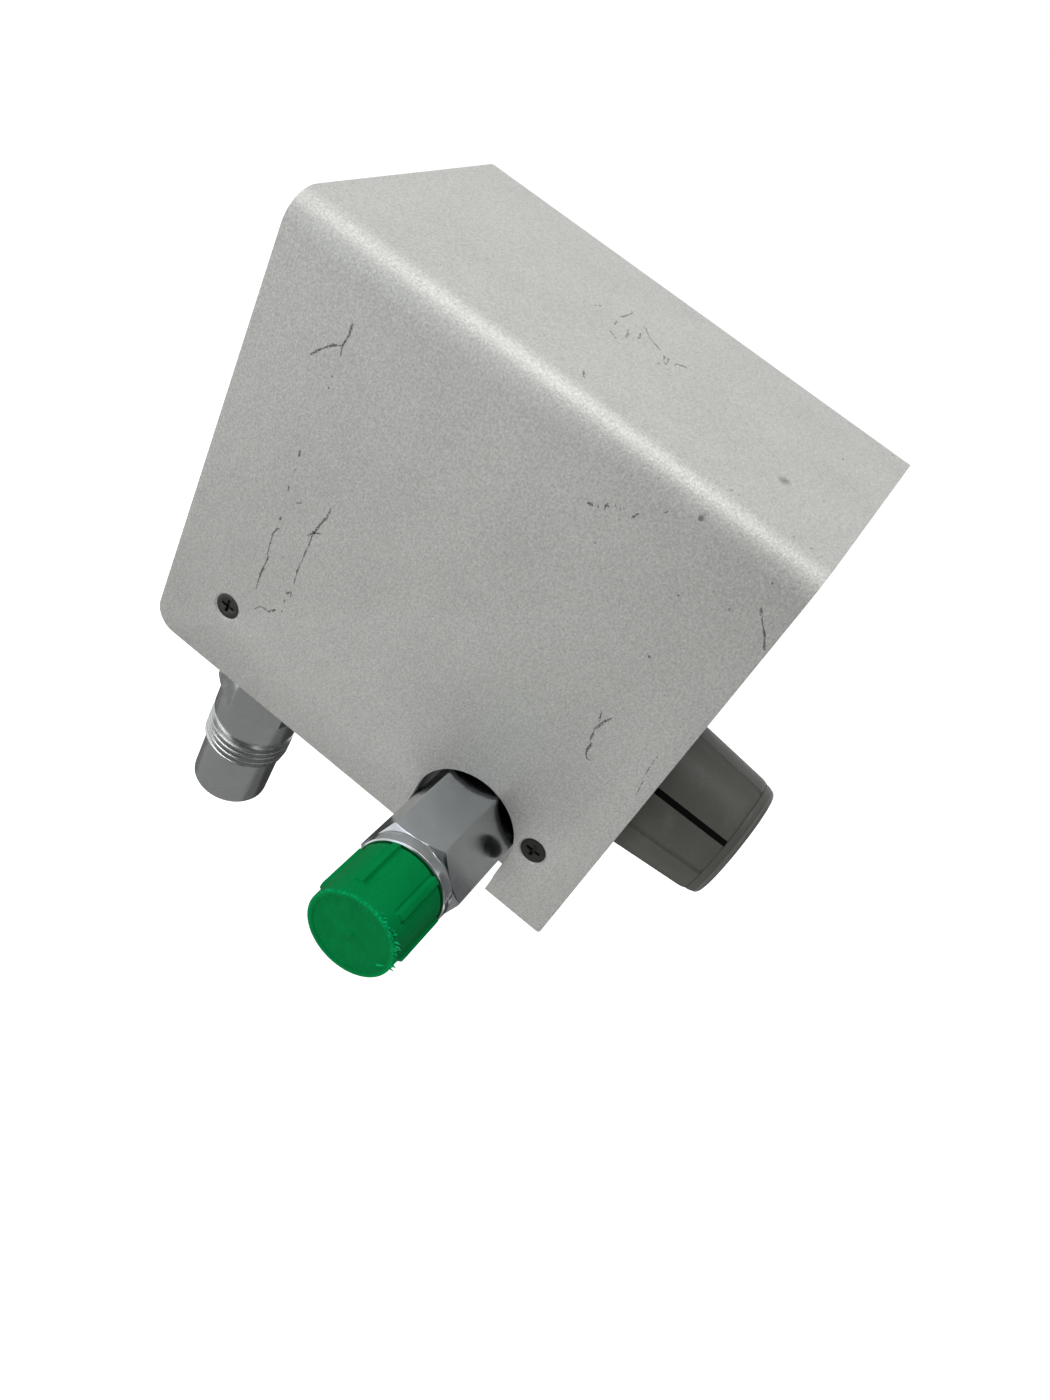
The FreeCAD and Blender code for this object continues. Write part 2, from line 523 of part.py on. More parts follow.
def make_cover():
    """Fold the cover: top and two sides, with a notch for the outlet and four countersunk holes."""
    body = new_body("cover")
    inside_top = f"{TOP} - cover_sheet"
    profile = outline(body, "fold", [
        (f"-{SIDE}", BOTTOM), (f"-{SIDE}", TOP), (SIDE, TOP), (SIDE, BOTTOM),
        (SIDE_INSIDE, BOTTOM), (SIDE_INSIDE, inside_top),
        (f"-{SIDE_INSIDE}", inside_top), (f"-{SIDE_INSIDE}", BOTTOM)])
    sheet_pad = body.newObject("PartDesign::Pad", "sheet")
    sheet_pad.Profile = profile
    sheet_pad.setExpression("Length", bound("box_depth"))
    middle = "-box_depth / 2"
    outer = rounded(body, "outer_bends", sheet_pad, "bend_radius",
                    [(f"-{SIDE}", middle, TOP), (SIDE, middle, TOP)])
    inner = rounded(body, "inner_bends", outer, "bend_radius - cover_sheet",
                    [(f"-{SIDE_INSIDE}", middle, inside_top), (SIDE_INSIDE, middle, inside_top)])
    wall = f"{SIDE} - cover_sheet / 2"
    rear = rounded(body, "rear_corners", inner, "rear_corner_radius",
                   [(f"-({wall})", "0", BOTTOM), (wall, "0", BOTTOM)])
    rounded(body, "front_corners", rear, "front_corner_radius",
            [(f"-({wall})", "-box_depth", BOTTOM), (wall, "-box_depth", BOTTOM)])
    add(body, "SubtractiveCylinder", "outlet_notch", (f"-{SIDE} - 1", OUTLET_Y, OUTLET_Z), "+X",
        Radius="notch_radius", Height="cover_sheet + 2")
    add(body, "SubtractiveBox", "notch_mouth",
        (f"-{SIDE} - 1", f"{OUTLET_Y} - notch_radius", f"{BOTTOM} - 1"),
        Length="cover_sheet + 2", Width="2 * notch_radius", Height="outlet_height + 1")
    for side, sign, inward, _ in SIDES:
        for end, depth, height in cover_screw_places():
            add(body, "SubtractiveCone", f"{side}_{end}_countersink",
                (f"{sign}{SIDE}", depth, height), inward, Radius1="countersink_radius",
                Radius2="countersink_radius - cover_sheet", Height="cover_sheet")


def make_chassis():
    """Fold the chassis: front panel, bottom and back in one sheet, with four screw tabs."""
    body = new_body("chassis")
    profile = outline(body, "fold", [
        ("0", PANEL_TOP), ("0", BOTTOM), (PANEL_FACE, BOTTOM), (PANEL_FACE, PANEL_TOP),
        (PANEL_INSIDE, PANEL_TOP), (PANEL_INSIDE, BLOCK_FOOT),
        ("-chassis_sheet", BLOCK_FOOT), ("-chassis_sheet", PANEL_TOP)], "YZ_Plane")
    sheet_pad = body.newObject("PartDesign::Pad", "sheet")
    sheet_pad.Profile = profile
    sheet_pad.Midplane = True
    sheet_pad.setExpression("Length", bound(f"2 * {SIDE_INSIDE}"))
    rear = rounded(body, "rear_bend", sheet_pad, "rear_corner_radius", [("0", "0", BOTTOM)])
    rear_inner = rounded(body, "rear_inner_bend", rear, "rear_corner_radius - chassis_sheet",
                         [("0", "-chassis_sheet", BLOCK_FOOT)])
    front = rounded(body, "front_bend", rear_inner, "chassis_bend", [("0", PANEL_FACE, BOTTOM)])
    front_inner = rounded(body, "front_inner_bend", front, "chassis_bend - chassis_sheet",
                          [("0", PANEL_INSIDE, BLOCK_FOOT)])
    panels = ["-chassis_sheet / 2", f"{PANEL_FACE} + chassis_sheet / 2"]
    corners = [(f"{sign}{SIDE_INSIDE}", panel, PANEL_TOP) for sign in ("-", "") for panel in panels]
    rounded(body, "panel_corners", front_inner, "panel_corner", corners)
    for side, sign, inward, _ in SIDES:
        for end, depth, height in cover_screw_places():
            start = f"-{SIDE_INSIDE}" if sign else f"{SIDE_INSIDE} - chassis_sheet"
            add(body, "AdditiveBox", f"{side}_{end}_tab", (start, f"{depth} - tab_width / 2", BOTTOM),
                Length="chassis_sheet", Width="tab_width", Height="tab_height")
            add(body, "SubtractiveCylinder", f"{side}_{end}_tab_hole",
                (f"{sign}{SIDE}", depth, height), inward,
                Radius="cover_nut_barrel + fit_gap", Height="cover_sheet + chassis_sheet + 1")
    add(body, "SubtractiveBox", "outlet_notch", (f"-{SIDE}", f"{OUTLET_Y} - notch_radius", f"{BOTTOM} - 1"),
        Length="block_side_gap", Width="2 * notch_radius", Height="chassis_sheet + 2")
    for side, sign, _, _ in SIDES:
        add(body, "SubtractiveCylinder", f"{side}_inlet_hole",
            (f"{sign}{INLET_X}", "-inlet_from_rear", f"{BOTTOM} - 1"),
            Radius="inlet_shank_radius + inlet_hole_gap", Height="chassis_sheet + 2")
        for end in ("front", "rear"):
            add(body, "SubtractiveCylinder", f"{side}_{end}_block_hole",
                (f"{sign}{BLOCK_SCREW_X}", BLOCK_SCREW_Y[end], f"{BOTTOM} - 1"),
                Radius="block_screw_radius + fit_gap", Height="chassis_sheet + 2")
        for level, height in (("low", "-mount_spacing / 2"), ("high", "mount_spacing / 2")):
            add(body, "SubtractiveCylinder", f"{side}_{level}_mount_hole",
                (f"{sign}mount_spacing / 2", "1", height), "-Y",
                Radius="mount_nut_barrel + fit_gap", Height="chassis_sheet + 2")
    add(body, "SubtractiveCylinder", "bushing_hole", ("0", f"{PANEL_FACE} - 1", KNOB_Z), "+Y",
        Radius="bushing_radius + fit_gap", Height="chassis_sheet + 2")


def make_dial_plate():
    """Cut the front plate that carries the percentage scale."""
    body = new_body("dial_plate")
    half = f"({SIDE_INSIDE} - plate_margin)"
    foot, head = f"({BOTTOM} + chassis_bend)", f"({PANEL_TOP} - plate_margin)"
    blank = add(body, "AdditiveBox", "blank", (f"-{half}", PLATE_FACE, foot),
                Length=f"2 * {half}", Width="plate_thickness", Height=f"{head} - {foot}")
    middle = f"{PLATE_FACE} + plate_thickness / 2"
    rounded(body, "top_corners", blank, "panel_corner", [(f"-{half}", middle, head), (half, middle, head)])
    add(body, "SubtractiveCylinder", "bushing_hole", ("0", f"{PLATE_FACE} - 1", KNOB_Z), "+Y",
        Radius="bushing_radius + fit_gap", Height="plate_thickness + 2")


def make_cover_fasteners():
    """Turn the four countersunk screws and the clinch nuts that they hold in."""
    screws, nuts = [], []
    sunk = "(countersink_radius - screw_head_radius)"
    for side, sign, inward, outward in SIDES:
        for end, depth, height in cover_screw_places():
            inset = f"({SIDE} - {sunk})"
            screw = new_body(f"{side}_{end}_screw", (f"{sign}{inset}", depth, height), inward, node=False)
            turned(screw, "shape", [
                ("0", "0"), ("screw_head_radius - fit_gap", "0"),
                ("screw_radius", "screw_head_radius - screw_radius - fit_gap"),
                ("screw_radius", "screw_length"), ("0", "screw_length")])
            for turn, arm in (("0", "arm"), ("90", "cross_arm")):
                box = add(screw, "SubtractiveBox", arm, turn=turn,
                          Length="recess_span", Width="recess_width", Height="recess_depth")
                shift = ("-recess_span / 2", "-recess_width / 2")
                if turn == "90":
                    shift = ("recess_width / 2", "-recess_span / 2")
                place(box, (*shift, "0"), turn=turn)
            screws.append(screw)
            face = f"({SIDE_INSIDE})"
            nut = new_body(f"{side}_{end}_nut", (f"{sign}{face}", depth, height), inward, node=False)
            turned(nut, "shape", [
                ("screw_radius + cover_nut_entry", "0"), ("cover_nut_barrel", "0"),
                ("cover_nut_barrel", "chassis_sheet"), ("cover_nut_flange", "chassis_sheet"),
                ("cover_nut_flange", "chassis_sheet + cover_nut_height"),
                ("screw_radius + run_gap", "chassis_sheet + cover_nut_height"),
                ("screw_radius + run_gap", "cover_nut_entry")])
            nuts.append(nut)
    group("cover_screws", screws)
    group("cover_nuts", nuts)


def make_mounting_nuts():
    """Turn the four threaded nuts pressed into the back for a bracket."""
    nuts = []
    for side, sign, _, _ in SIDES:
        for level, height in (("low", "-mount_spacing / 2"), ("high", "mount_spacing / 2")):
            nut = new_body(f"{side}_{level}_mounting_nut", (f"{sign}mount_spacing / 2", "0", height), "-Y",
                           node=False)
            turned(nut, "shape", [
                ("mount_bore", "0"), ("mount_nut_barrel", "0"), ("mount_nut_barrel", "chassis_sheet"),
                ("mount_nut_flange", "chassis_sheet"),
                ("mount_nut_flange", "chassis_sheet + mount_nut_height"),
                ("mount_bore", "chassis_sheet + mount_nut_height")])
            nuts.append(nut)
    group("mounting_nuts", nuts)


def make_manifold_block():
    """Machine the block that carries the fittings and the valves, with its drilled passages."""
    body = new_body("manifold_block")
    block_length = "box_depth - block_front_gap - block_rear_gap"
    add(body, "AdditiveBox", "block", (f"-{BLOCK_SIDE}", BLOCK_FRONT, BLOCK_FOOT),
        Length=f"2 * {BLOCK_SIDE}", Width=block_length, Height="block_height")
    for gas, sign in (("oxygen", ""), ("air", "-")):
        add(body, "AdditiveCylinder", f"{gas}_boss", (f"{sign}{INLET_X}", "-inlet_from_rear", BLOCK_FOOT),
            Radius="inlet_boss_radius", Height="inlet_boss_height")
    add(body, "SubtractiveCylinder", "outlet_port", (f"-{BLOCK_SIDE}", OUTLET_Y, OUTLET_Z), "+X",
        Radius="outlet_shank_radius + fit_gap", Height="outlet_shank_length + 1")
    add(body, "SubtractiveCylinder", "outlet_passage", (f"-{BLOCK_SIDE}", OUTLET_Y, OUTLET_Z), "+X",
        Radius="outlet_neck", Height=BLOCK_SIDE)
    add(body, "SubtractiveCylinder", "mix_passage", ("0", f"{BLOCK_FRONT} + mix_port_station", BLOCK_FOOT),
        Radius="mix_bore", Height="knob_height - chassis_sheet")
    add(body, "SubtractiveCylinder", "sleeve_bore", ("0", BLOCK_FRONT, KNOB_Z), "+Y",
        Radius="sleeve_radius + fit_gap", Height="sleeve_length + 2")
    drop = "chassis_sheet + block_height - knob_height"
    for gas, sign in (("oxygen", ""), ("air", "-")):
        depth = f"{BLOCK_FRONT} + {gas}_port_station"
        port_x = f"{sign}{INLET_X}"
        level = f"{BLOCK_FOOT} + supply_height"
        add(body, "SubtractiveCylinder", f"{gas}_drop", ("0", depth, BLOCK_TOP), "-Z",
            Radius="passage_radius", Height=drop)
        add(body, "SubtractiveCylinder", f"{gas}_inlet_port", (port_x, "-inlet_from_rear", BLOCK_FOOT),
            Radius="inlet_shank_radius + fit_gap",
            Height="inlet_shank_length - chassis_sheet + port_clearance")
        add(body, "SubtractiveCylinder", f"{gas}_riser", (port_x, "-inlet_from_rear", BLOCK_FOOT),
            Radius="passage_radius", Height="supply_height")
        add(body, "SubtractiveCylinder", f"{gas}_supply",
            (f"{sign}{SUPPLY_X}", "-block_rear_gap", level), "-Y",
            Radius="passage_radius", Height=f"-({depth}) - block_rear_gap")
        add(body, "SubtractiveCylinder", f"{gas}_feed", (f"{sign}{SUPPLY_X}", depth, level),
            Radius="passage_radius", Height="block_height - supply_height")
    add(body, "SubtractiveCylinder", "alarm_port", ("0", ALARM_Y, BLOCK_TOP), "-Z",
        Radius="passage_radius", Height="alarm_port_depth")
    for side, sign, _, _ in SIDES:
        for end in ("front", "rear"):
            add(body, "SubtractiveCylinder", f"{side}_{end}_block_hole",
                (f"{sign}{BLOCK_SCREW_X}", BLOCK_SCREW_Y[end], BLOCK_FOOT),
                Radius="block_screw_radius + fit_gap", Height="block_screw_reach + 1")
    for side, sign, _, _ in SIDES:
        for end, depth in foot_screw_places():
            add(body, "SubtractiveCylinder", f"{side}_{end}_foot_hole",
                (f"{sign}{FOOT_SCREW_X}", depth, BLOCK_TOP), "-Z",
                Radius="foot_screw_radius + fit_gap", Height="foot_screw_reach + port_clearance")


def foot_screw_places():
    """Give the depths of the balance module's foot screws."""
    reach = "(balance_length - foot_screw_inset)"
    return [("front", f"{BALANCE_Y} - {reach}"), ("rear", f"{BALANCE_Y} + {reach}")]


def make_manifold_screws():
    """Turn the four screws that hold the block to the bottom."""
    screws = []
    for side, sign, _, _ in SIDES:
        for end in ("front", "rear"):
            spot = (f"{sign}{BLOCK_SCREW_X}", BLOCK_SCREW_Y[end], f"{BOTTOM} - block_screw_head_height")
            screw = new_body(f"{side}_{end}_manifold_screw", spot, node=False)
            reach = "block_screw_head_height + chassis_sheet + block_screw_reach"
            turned(screw, "shape", [
                ("0", "0"), ("block_screw_head - block_screw_edge", "0"),
                ("block_screw_head", "block_screw_edge"),
                ("block_screw_head", "block_screw_head_height"),
                ("block_screw_radius", "block_screw_head_height"),
                ("block_screw_radius", reach), ("0", reach)])
            screws.append(screw)
    group("manifold_screws", screws)


def make_outlet_fitting():
    """Turn the outlet from hexagon bar: shank, hexagon, collar, thread and stepped bore."""
    body = new_body("outlet_fitting", (f"-{BLOCK_SIDE}", OUTLET_Y, OUTLET_Z), "-X", "-outlet_hex_turn")
    add(body, "AdditivePrism", "hexagon", Circumradius=HEX_CORNER, Height=OUTLET_HEX)
    turned(body, "corner_chamfer", [
        ("hex_across / 2 - hex_face_inset", OUTLET_HEX), (HEX_CLEAR, OUTLET_HEX),
        (HEX_CLEAR, f"{OUTLET_HEX} - hex_chamfer")], cut=True)
    turned(body, "turned_end", [
        ("0", f"{OUTLET_HEX} - 1"), ("collar_radius - collar_edge", f"{OUTLET_HEX} - 1"),
        ("collar_radius - collar_edge", OUTLET_HEX), ("collar_radius", f"{OUTLET_HEX} + collar_edge"),
        ("collar_radius", f"{OUTLET_COLLAR_END} - collar_edge"),
        ("collar_radius - collar_edge", OUTLET_COLLAR_END), ("outlet_thread_radius", OUTLET_COLLAR_END),
        ("outlet_thread_radius", f"{OUTLET_END} - thread_edge"),
        ("outlet_thread_radius - thread_edge", OUTLET_END), ("0", OUTLET_END)])
    add(body, "AdditiveCylinder", "shank", ("0", "0", "-outlet_shank_length"),
        Radius="outlet_shank_radius", Height="outlet_shank_length + 1")
    shank_seal_groove(body, "outlet_shank_radius", "outlet_shank_length")
    neck_end = "outlet_seat_station + outlet_neck_length"
    turned(body, "bore", [
        ("0", "-outlet_shank_length"), ("outlet_chamber", "-outlet_shank_length"),
        ("outlet_chamber", "outlet_seat_station"), ("outlet_neck", "outlet_seat_station"),
        ("outlet_neck", neck_end), ("outlet_bore", neck_end),
        ("outlet_bore", f"{OUTLET_END} - mouth_edge"), ("outlet_bore + mouth_edge", OUTLET_END),
        ("0", OUTLET_END)], cut=True)


def shank_seal_groove(body, radius, length):
    """Cut the groove of a shank seal near the shank's inner end."""
    low, high = f"seal_inset - seal_section - {length}", f"seal_inset + seal_section - {length}"
    floor = f"{radius} + fit_gap - 2 * seal_section"
    turned(body, "seal_groove", [
        (floor, low), (f"{radius} + 1", low), (f"{radius} + 1", high), (floor, high)], cut=True)


def make_outlet_valve():
    """Make the outlet's spring-closed poppet, its spring and the shank's seal."""
    spot = (f"-{BLOCK_SIDE}", OUTLET_Y, OUTLET_Z)
    poppet = new_body("outlet_poppet", spot, "-X")
    face = "(outlet_seat_station - seat_gap)"
    back = f"({face} - outlet_poppet_head)"
    tip = "outlet_seat_station + outlet_stem_reach"
    turned(poppet, "shape", [
        ("0", back), ("outlet_poppet_radius - turned_edge", back),
        ("outlet_poppet_radius", f"{back} + turned_edge"),
        ("outlet_poppet_radius", face), ("outlet_stem_radius", face),
        ("outlet_stem_radius", f"{tip} - turned_edge"), ("outlet_stem_radius - turned_edge", tip),
        ("0", tip)])
    reach = f"outlet_shank_length + 1 + {back}"
    spring("outlet_spring", (f"outlet_shank_length + 1 - {BLOCK_SIDE}", OUTLET_Y, OUTLET_Z), "-X", reach,
           "(outlet_poppet_radius - run_gap)", "stiff_wire_size", 4)
    seal_ring("outlet_seal", (f"outlet_shank_length - seal_inset - {BLOCK_SIDE}", OUTLET_Y, OUTLET_Z), "+X",
              "(outlet_shank_radius + fit_gap)", "seal_section")


def make_outlet_cap():
    """Mould the green cap: tapered shell, six ribs that stop short of the closed end, raised rim."""
    start = f"(-{BLOCK_SIDE} - {OUTLET_COLLAR_END} - cap_gap)"
    body = new_body("outlet_cap", (start, OUTLET_Y, OUTLET_Z), "-X", "-cap_rib_turn")
    rim_inner = "(cap_end_radius - cap_edge - cap_rim_width)"
    floor = "(cap_length - cap_rim_height)"
    turned(body, "shell", [
        ("cap_bore", "0"), ("cap_open_radius", "0"), ("cap_end_radius", "cap_length - cap_edge"),
        (f"cap_end_radius - {BEND} * cap_edge", f"cap_length - {BEND} * cap_edge"),
        ("cap_end_radius - cap_edge", "cap_length"), (rim_inner, "cap_length"),
        (f"{rim_inner} - cap_rim_height", floor), ("0", floor), ("0", "cap_hollow"),
        ("cap_bore", "cap_hollow")])
    add(body, "AdditiveCylinder", "nub", ("0", "0", "cap_hollow"),
        Radius="cap_nub_radius", Height="cap_length - cap_hollow")
    rib = add(body, "AdditiveBox", "rib", ("cap_end_radius - cap_rib_root", "-cap_rib_width / 2", "0"),
              Length="cap_rib_radius - cap_end_radius + cap_rib_root", Width="cap_rib_width",
              Height="cap_rib_length")
    repeated(body, "ribs", rib, "cap_rib_count")


def make_inlet(gas, sign):
    """Make one gas inlet: fitting, filter, check valve and seal."""
    axis = (f"{sign}{INLET_X}", "-inlet_from_rear")
    spot = (*axis, BOTTOM)
    body = new_body(f"{gas}_inlet_fitting", spot, "-Z", "inlet_hex_turn")
    thread, nose = f"{gas}_thread_radius", f"{gas}_nose_radius"
    round_end = "(inlet_hex_length + inlet_body_length)"
    thread_start = f"({round_end} + inlet_neck_length)"
    thread_end = f"({thread_start} + inlet_thread_length)"
    add(body, "AdditivePrism", "hexagon", Circumradius=HEX_CORNER, Height="inlet_hex_length")
    turned(body, "corner_chamfer", [
        ("hex_across / 2 - hex_face_inset", "inlet_hex_length"), (HEX_CLEAR, "inlet_hex_length"),
        (HEX_CLEAR, "inlet_hex_length - hex_chamfer")], cut=True)
    turned(body, "turned_end", [
        ("0", "inlet_hex_length - 1"), (INLET_BODY, "inlet_hex_length - 1"),
        (INLET_BODY, f"{round_end} - turned_edge"), (f"{INLET_BODY} - turned_edge", round_end),
        (f"{thread} - inlet_neck_depth", round_end), (f"{thread} - inlet_neck_depth", thread_start),
        (thread, f"{thread_start} + turned_edge"), (thread, f"{thread_end} - inlet_thread_edge"),
        (nose, thread_end),
        (nose, f"{NOSE_END} - nose_edge"),
        (f"{nose} - {BEND} * nose_edge", f"{NOSE_END} - {BEND} * nose_edge"),
        (f"{nose} - nose_edge", NOSE_END), ("0", NOSE_END)])
    add(body, "AdditiveCylinder", "shank", ("0", "0", "-inlet_shank_length"),
        Radius="inlet_shank_radius", Height="inlet_shank_length + 1")
    shank_seal_groove(body, "inlet_shank_radius", "inlet_shank_length")
    filter_end = "(filter_station + filter_height)"
    turned(body, "bore", [
        ("0", "-inlet_shank_length"), ("check_bore", "-inlet_shank_length"), ("check_bore", "check_station"),
        ("seat_bore", "check_station"), ("seat_bore", "filter_station"),
        ("filter_radius + fit_gap", "filter_station"),
        ("filter_radius + fit_gap", filter_end), ("nose_bore", filter_end),
        ("nose_bore", f"{NOSE_END} - mouth_edge"), ("nose_bore + mouth_edge", NOSE_END),
        ("0", NOSE_END)], cut=True)
    sieve = new_body(f"{gas}_inlet_filter", spot, "-Z")
    turned(sieve, "shape", [
        ("0", "filter_station"), ("filter_radius", "filter_station"),
        ("filter_radius", f"{filter_end} - turned_edge"),
        ("filter_radius - turned_edge", filter_end), ("0", filter_end)])
    poppet = new_body(f"{gas}_check_poppet", spot, "-Z")
    face = "(check_station - seat_gap)"
    turned(poppet, "shape", [
        ("0", f"{face} - check_poppet_height"), ("check_poppet_radius", f"{face} - check_poppet_height"),
        ("check_poppet_radius", face), ("seat_bore - poppet_nose", face),
        ("seat_bore - 2 * poppet_nose", f"{face} + poppet_nose"), ("0", f"{face} + poppet_nose")])
    length = f"{CHECK_TOP} + {face} - check_poppet_height"
    spring(f"{gas}_check_spring", (*axis, f"{BOTTOM} + {CHECK_TOP}"), "-Z", length,
           "(check_poppet_radius - run_gap)", "wire_size", 3)
    retainer = new_body(f"{gas}_check_retainer", (*axis, f"{BOTTOM} + {CHECK_TOP}"))
    turned(retainer, "shape", [
        ("check_retainer_bore", "0"), ("check_bore - fit_gap", "0"),
        ("check_bore - fit_gap", "check_retainer_height"), ("check_retainer_bore", "check_retainer_height")])
    seal_ring(f"{gas}_inlet_seal", (*axis, f"{BOTTOM} + inlet_shank_length - seal_inset"), "+Z",
              "(inlet_shank_radius + fit_gap)", "seal_section")


def spread(half):
    """Angle in degrees that a strip of this half width takes round the knob's base."""
    return f"(2 * atan({half} / knob_base_radius) / 1 deg)"


def make_knob():
    """Mould the knob: tapered body with four grip grooves, inlaid pointer and rounded end cap."""
    base = ("0", f"{PLATE_FACE} - knob_gap", KNOB_Z)
    turn = "180 - knob_pointer_rise"
    body = new_body("knob_body", base, "-Y", turn)
    pocket = "(knob_length - knob_pocket_depth)"
    turned(body, "shell", [
        ("knob_core_bore", "knob_recess_depth"), ("knob_recess_radius", "knob_recess_depth"),
        ("knob_recess_radius", "0"), ("knob_base_radius - knob_edge", "0"),
        ("knob_base_radius", "knob_edge"),
        ("knob_end_radius", "knob_length"), ("knob_pocket_radius", "knob_length"),
        ("knob_pocket_radius", pocket), ("knob_core_bore", pocket)])
    strip = [
        ("knob_base_radius - pointer_depth", "knob_edge"), ("knob_base_radius", "knob_edge"),
        ("knob_end_radius", "knob_length"), ("knob_end_radius - pointer_depth", "knob_length")]
    wide = [
        ("knob_base_radius - pointer_depth", "knob_edge"), ("knob_base_radius + 1", "knob_edge"),
        ("knob_end_radius + 1", "knob_length + 1"), ("knob_end_radius - pointer_depth", "knob_length + 1"),
        ("knob_end_radius - pointer_depth", "knob_length")]
    turned(body, "pointer_slot", wide, cut=True, angle=spread("pointer_width / 2"))
    taper = "(atan((knob_base_radius - knob_end_radius) / knob_length) / 1 deg)"
    groove = body.newObject("PartDesign::SubtractiveCylinder", "groove")
    groove.setExpression("Radius", bound("knob_groove_radius"))
    groove.setExpression("Height", bound("knob_length + 4"))
    away = value("knob_base_radius + knob_groove_radius - knob_groove_depth")
    lean = FreeCAD.Rotation(VEC(0, 1, 0), -value(taper))
    around = FreeCAD.Rotation(VEC(0, 0, 1), value("knob_groove_turn"))
    groove.Placement = FreeCAD.Placement(VEC(), around).multiply(FreeCAD.Placement(VEC(away, 0, -0.2), lean))
    repeated(body, "grooves", groove, "4")
    pointer = new_body("knob_pointer", base, "-Y", turn)
    turned(pointer, "strip", strip, angle=spread("(pointer_width / 2 - pointer_side_gap)"))
    cap = new_body("knob_cap", ("0", f"{PLATE_FACE} - knob_gap - knob_length", KNOB_Z), "-Y", turn)
    edge, crown = "knob_cap_edge", "knob_cap_length"
    spigot = "(knob_pocket_radius - fit_gap)"
    seam = "(knob_cap_radius - knob_seam_depth)"
    bend = [(f"knob_cap_radius - {edge} * {inward}", f"{crown} - {edge} * {under}")
            for inward, under in CAP_BEND]
    turned(cap, "shape", [
        ("0", "-knob_cap_spigot"), (spigot, "-knob_cap_spigot"), (spigot, "0"), (seam, "0"),
        (seam, "knob_seam_width"), ("knob_cap_radius", "knob_seam_width"), *bend,
        ("0", f"{crown} + knob_cap_crown")])
    collet_spot = ("0", f"{PLATE_FACE} - knob_gap - {pocket}", KNOB_Z)
    collet = new_body("knob_collet", collet_spot, "-Y")
    add(collet, "AdditivePrism", "head",
        Circumradius="collet_head_across / sqrt(3)", Height="collet_head_height")
    add(collet, "AdditiveCylinder", "barrel", ("0", "0", "-collet_length"),
        Radius="knob_core_bore - fit_gap", Height="collet_length + 1")
    turned(collet, "bore", [
        ("0", "-collet_length"), ("shaft_radius + fit_gap", "-collet_length"),
        ("shaft_radius + fit_gap", "collet_head_height"), ("0", "collet_head_height")], cut=True)


def make_control_shaft():
    """Turn the shaft: knob end, stop collar with its lug, and the screw that drives the spool."""
    front = f"({PLATE_FACE} - knob_gap - shaft_in_knob)"
    body = new_body("control_shaft", ("0", front, KNOB_Z), "+Y", "180 + knob_pointer_rise")
    gland_end = f"(block_front_gap - box_depth + gland_length - {front})"
    screw_end = f"({gland_end} + drive_screw_length)"
    turned(body, "shape", [
        ("0", "0"), ("shaft_radius - turned_edge", "0"), ("shaft_radius", "turned_edge"),
        ("shaft_radius", gland_end),
        ("drive_screw_radius", gland_end), ("drive_screw_radius", screw_end), ("0", screw_end)])
    collar = f"({PANEL_INSIDE} + bushing_flange + run_gap - {front})"
    collar_end = f"({collar} + stop_ring_height)"
    turned(body, "stop_collar", [
        ("0", collar), ("stop_core", collar), ("stop_core", collar_end), ("0", collar_end)])
    turned(body, "stop_lug", [
        ("0", collar), ("stop_lug", collar), ("stop_lug", collar_end), ("0", collar_end)],
        angle="360 - stop_travel - stop_tooth - 2 * stop_play")


def make_panel_bushing():
    """Turn the shaft's bushing in the front panel, its nut, and the ring with the stop tooth."""
    flange = f"({PANEL_INSIDE} + bushing_flange)"
    body = new_body("panel_bushing", ("0", flange, KNOB_Z), "-Y")
    barrel = "(bushing_flange + chassis_sheet + plate_thickness + bushing_front)"
    turned(body, "shape", [
        ("shaft_radius + run_gap", "0"), ("bushing_flange_radius", "0"),
        ("bushing_flange_radius", "bushing_flange"), ("bushing_radius", "bushing_flange"),
        ("bushing_radius", f"{barrel} - turned_edge"), ("bushing_radius - turned_edge", barrel),
        ("shaft_radius + run_gap", barrel)])
    nut = new_body("bushing_nut", ("0", PLATE_FACE, KNOB_Z), "-Y")
    add(nut, "AdditivePrism", "hexagon", Circumradius="nut_across / sqrt(3)", Height="nut_height")
    turned(nut, "corner_chamfer", [
        ("nut_across / 2 - hex_face_inset", "nut_height"), (NUT_CLEAR, "nut_height"),
        (NUT_CLEAR, "nut_height - nut_chamfer")], cut=True)
    add(nut, "SubtractiveCylinder", "thread", ("0", "0", "-1"),
        Radius="bushing_radius + fit_gap", Height="nut_height + 2")
    turn = "knob_pointer_rise + stop_travel / 2 - stop_rest"
    ring = new_body("stop_ring", ("0", flange, KNOB_Z), "+Y", turn)
    turned(ring, "rim", [
        ("stop_ring_bore", "0"), ("bushing_flange_radius", "0"),
        ("bushing_flange_radius", "stop_ring_height"),
        ("stop_ring_bore", "stop_ring_height")])
    tooth_root = "stop_ring_bore + stop_tooth_root"
    turned(ring, "tooth", [
        ("stop_core + run_gap", "0"), (tooth_root, "0"), (tooth_root, "stop_ring_height"),
        ("stop_core + run_gap", "stop_ring_height")], angle="stop_tooth")


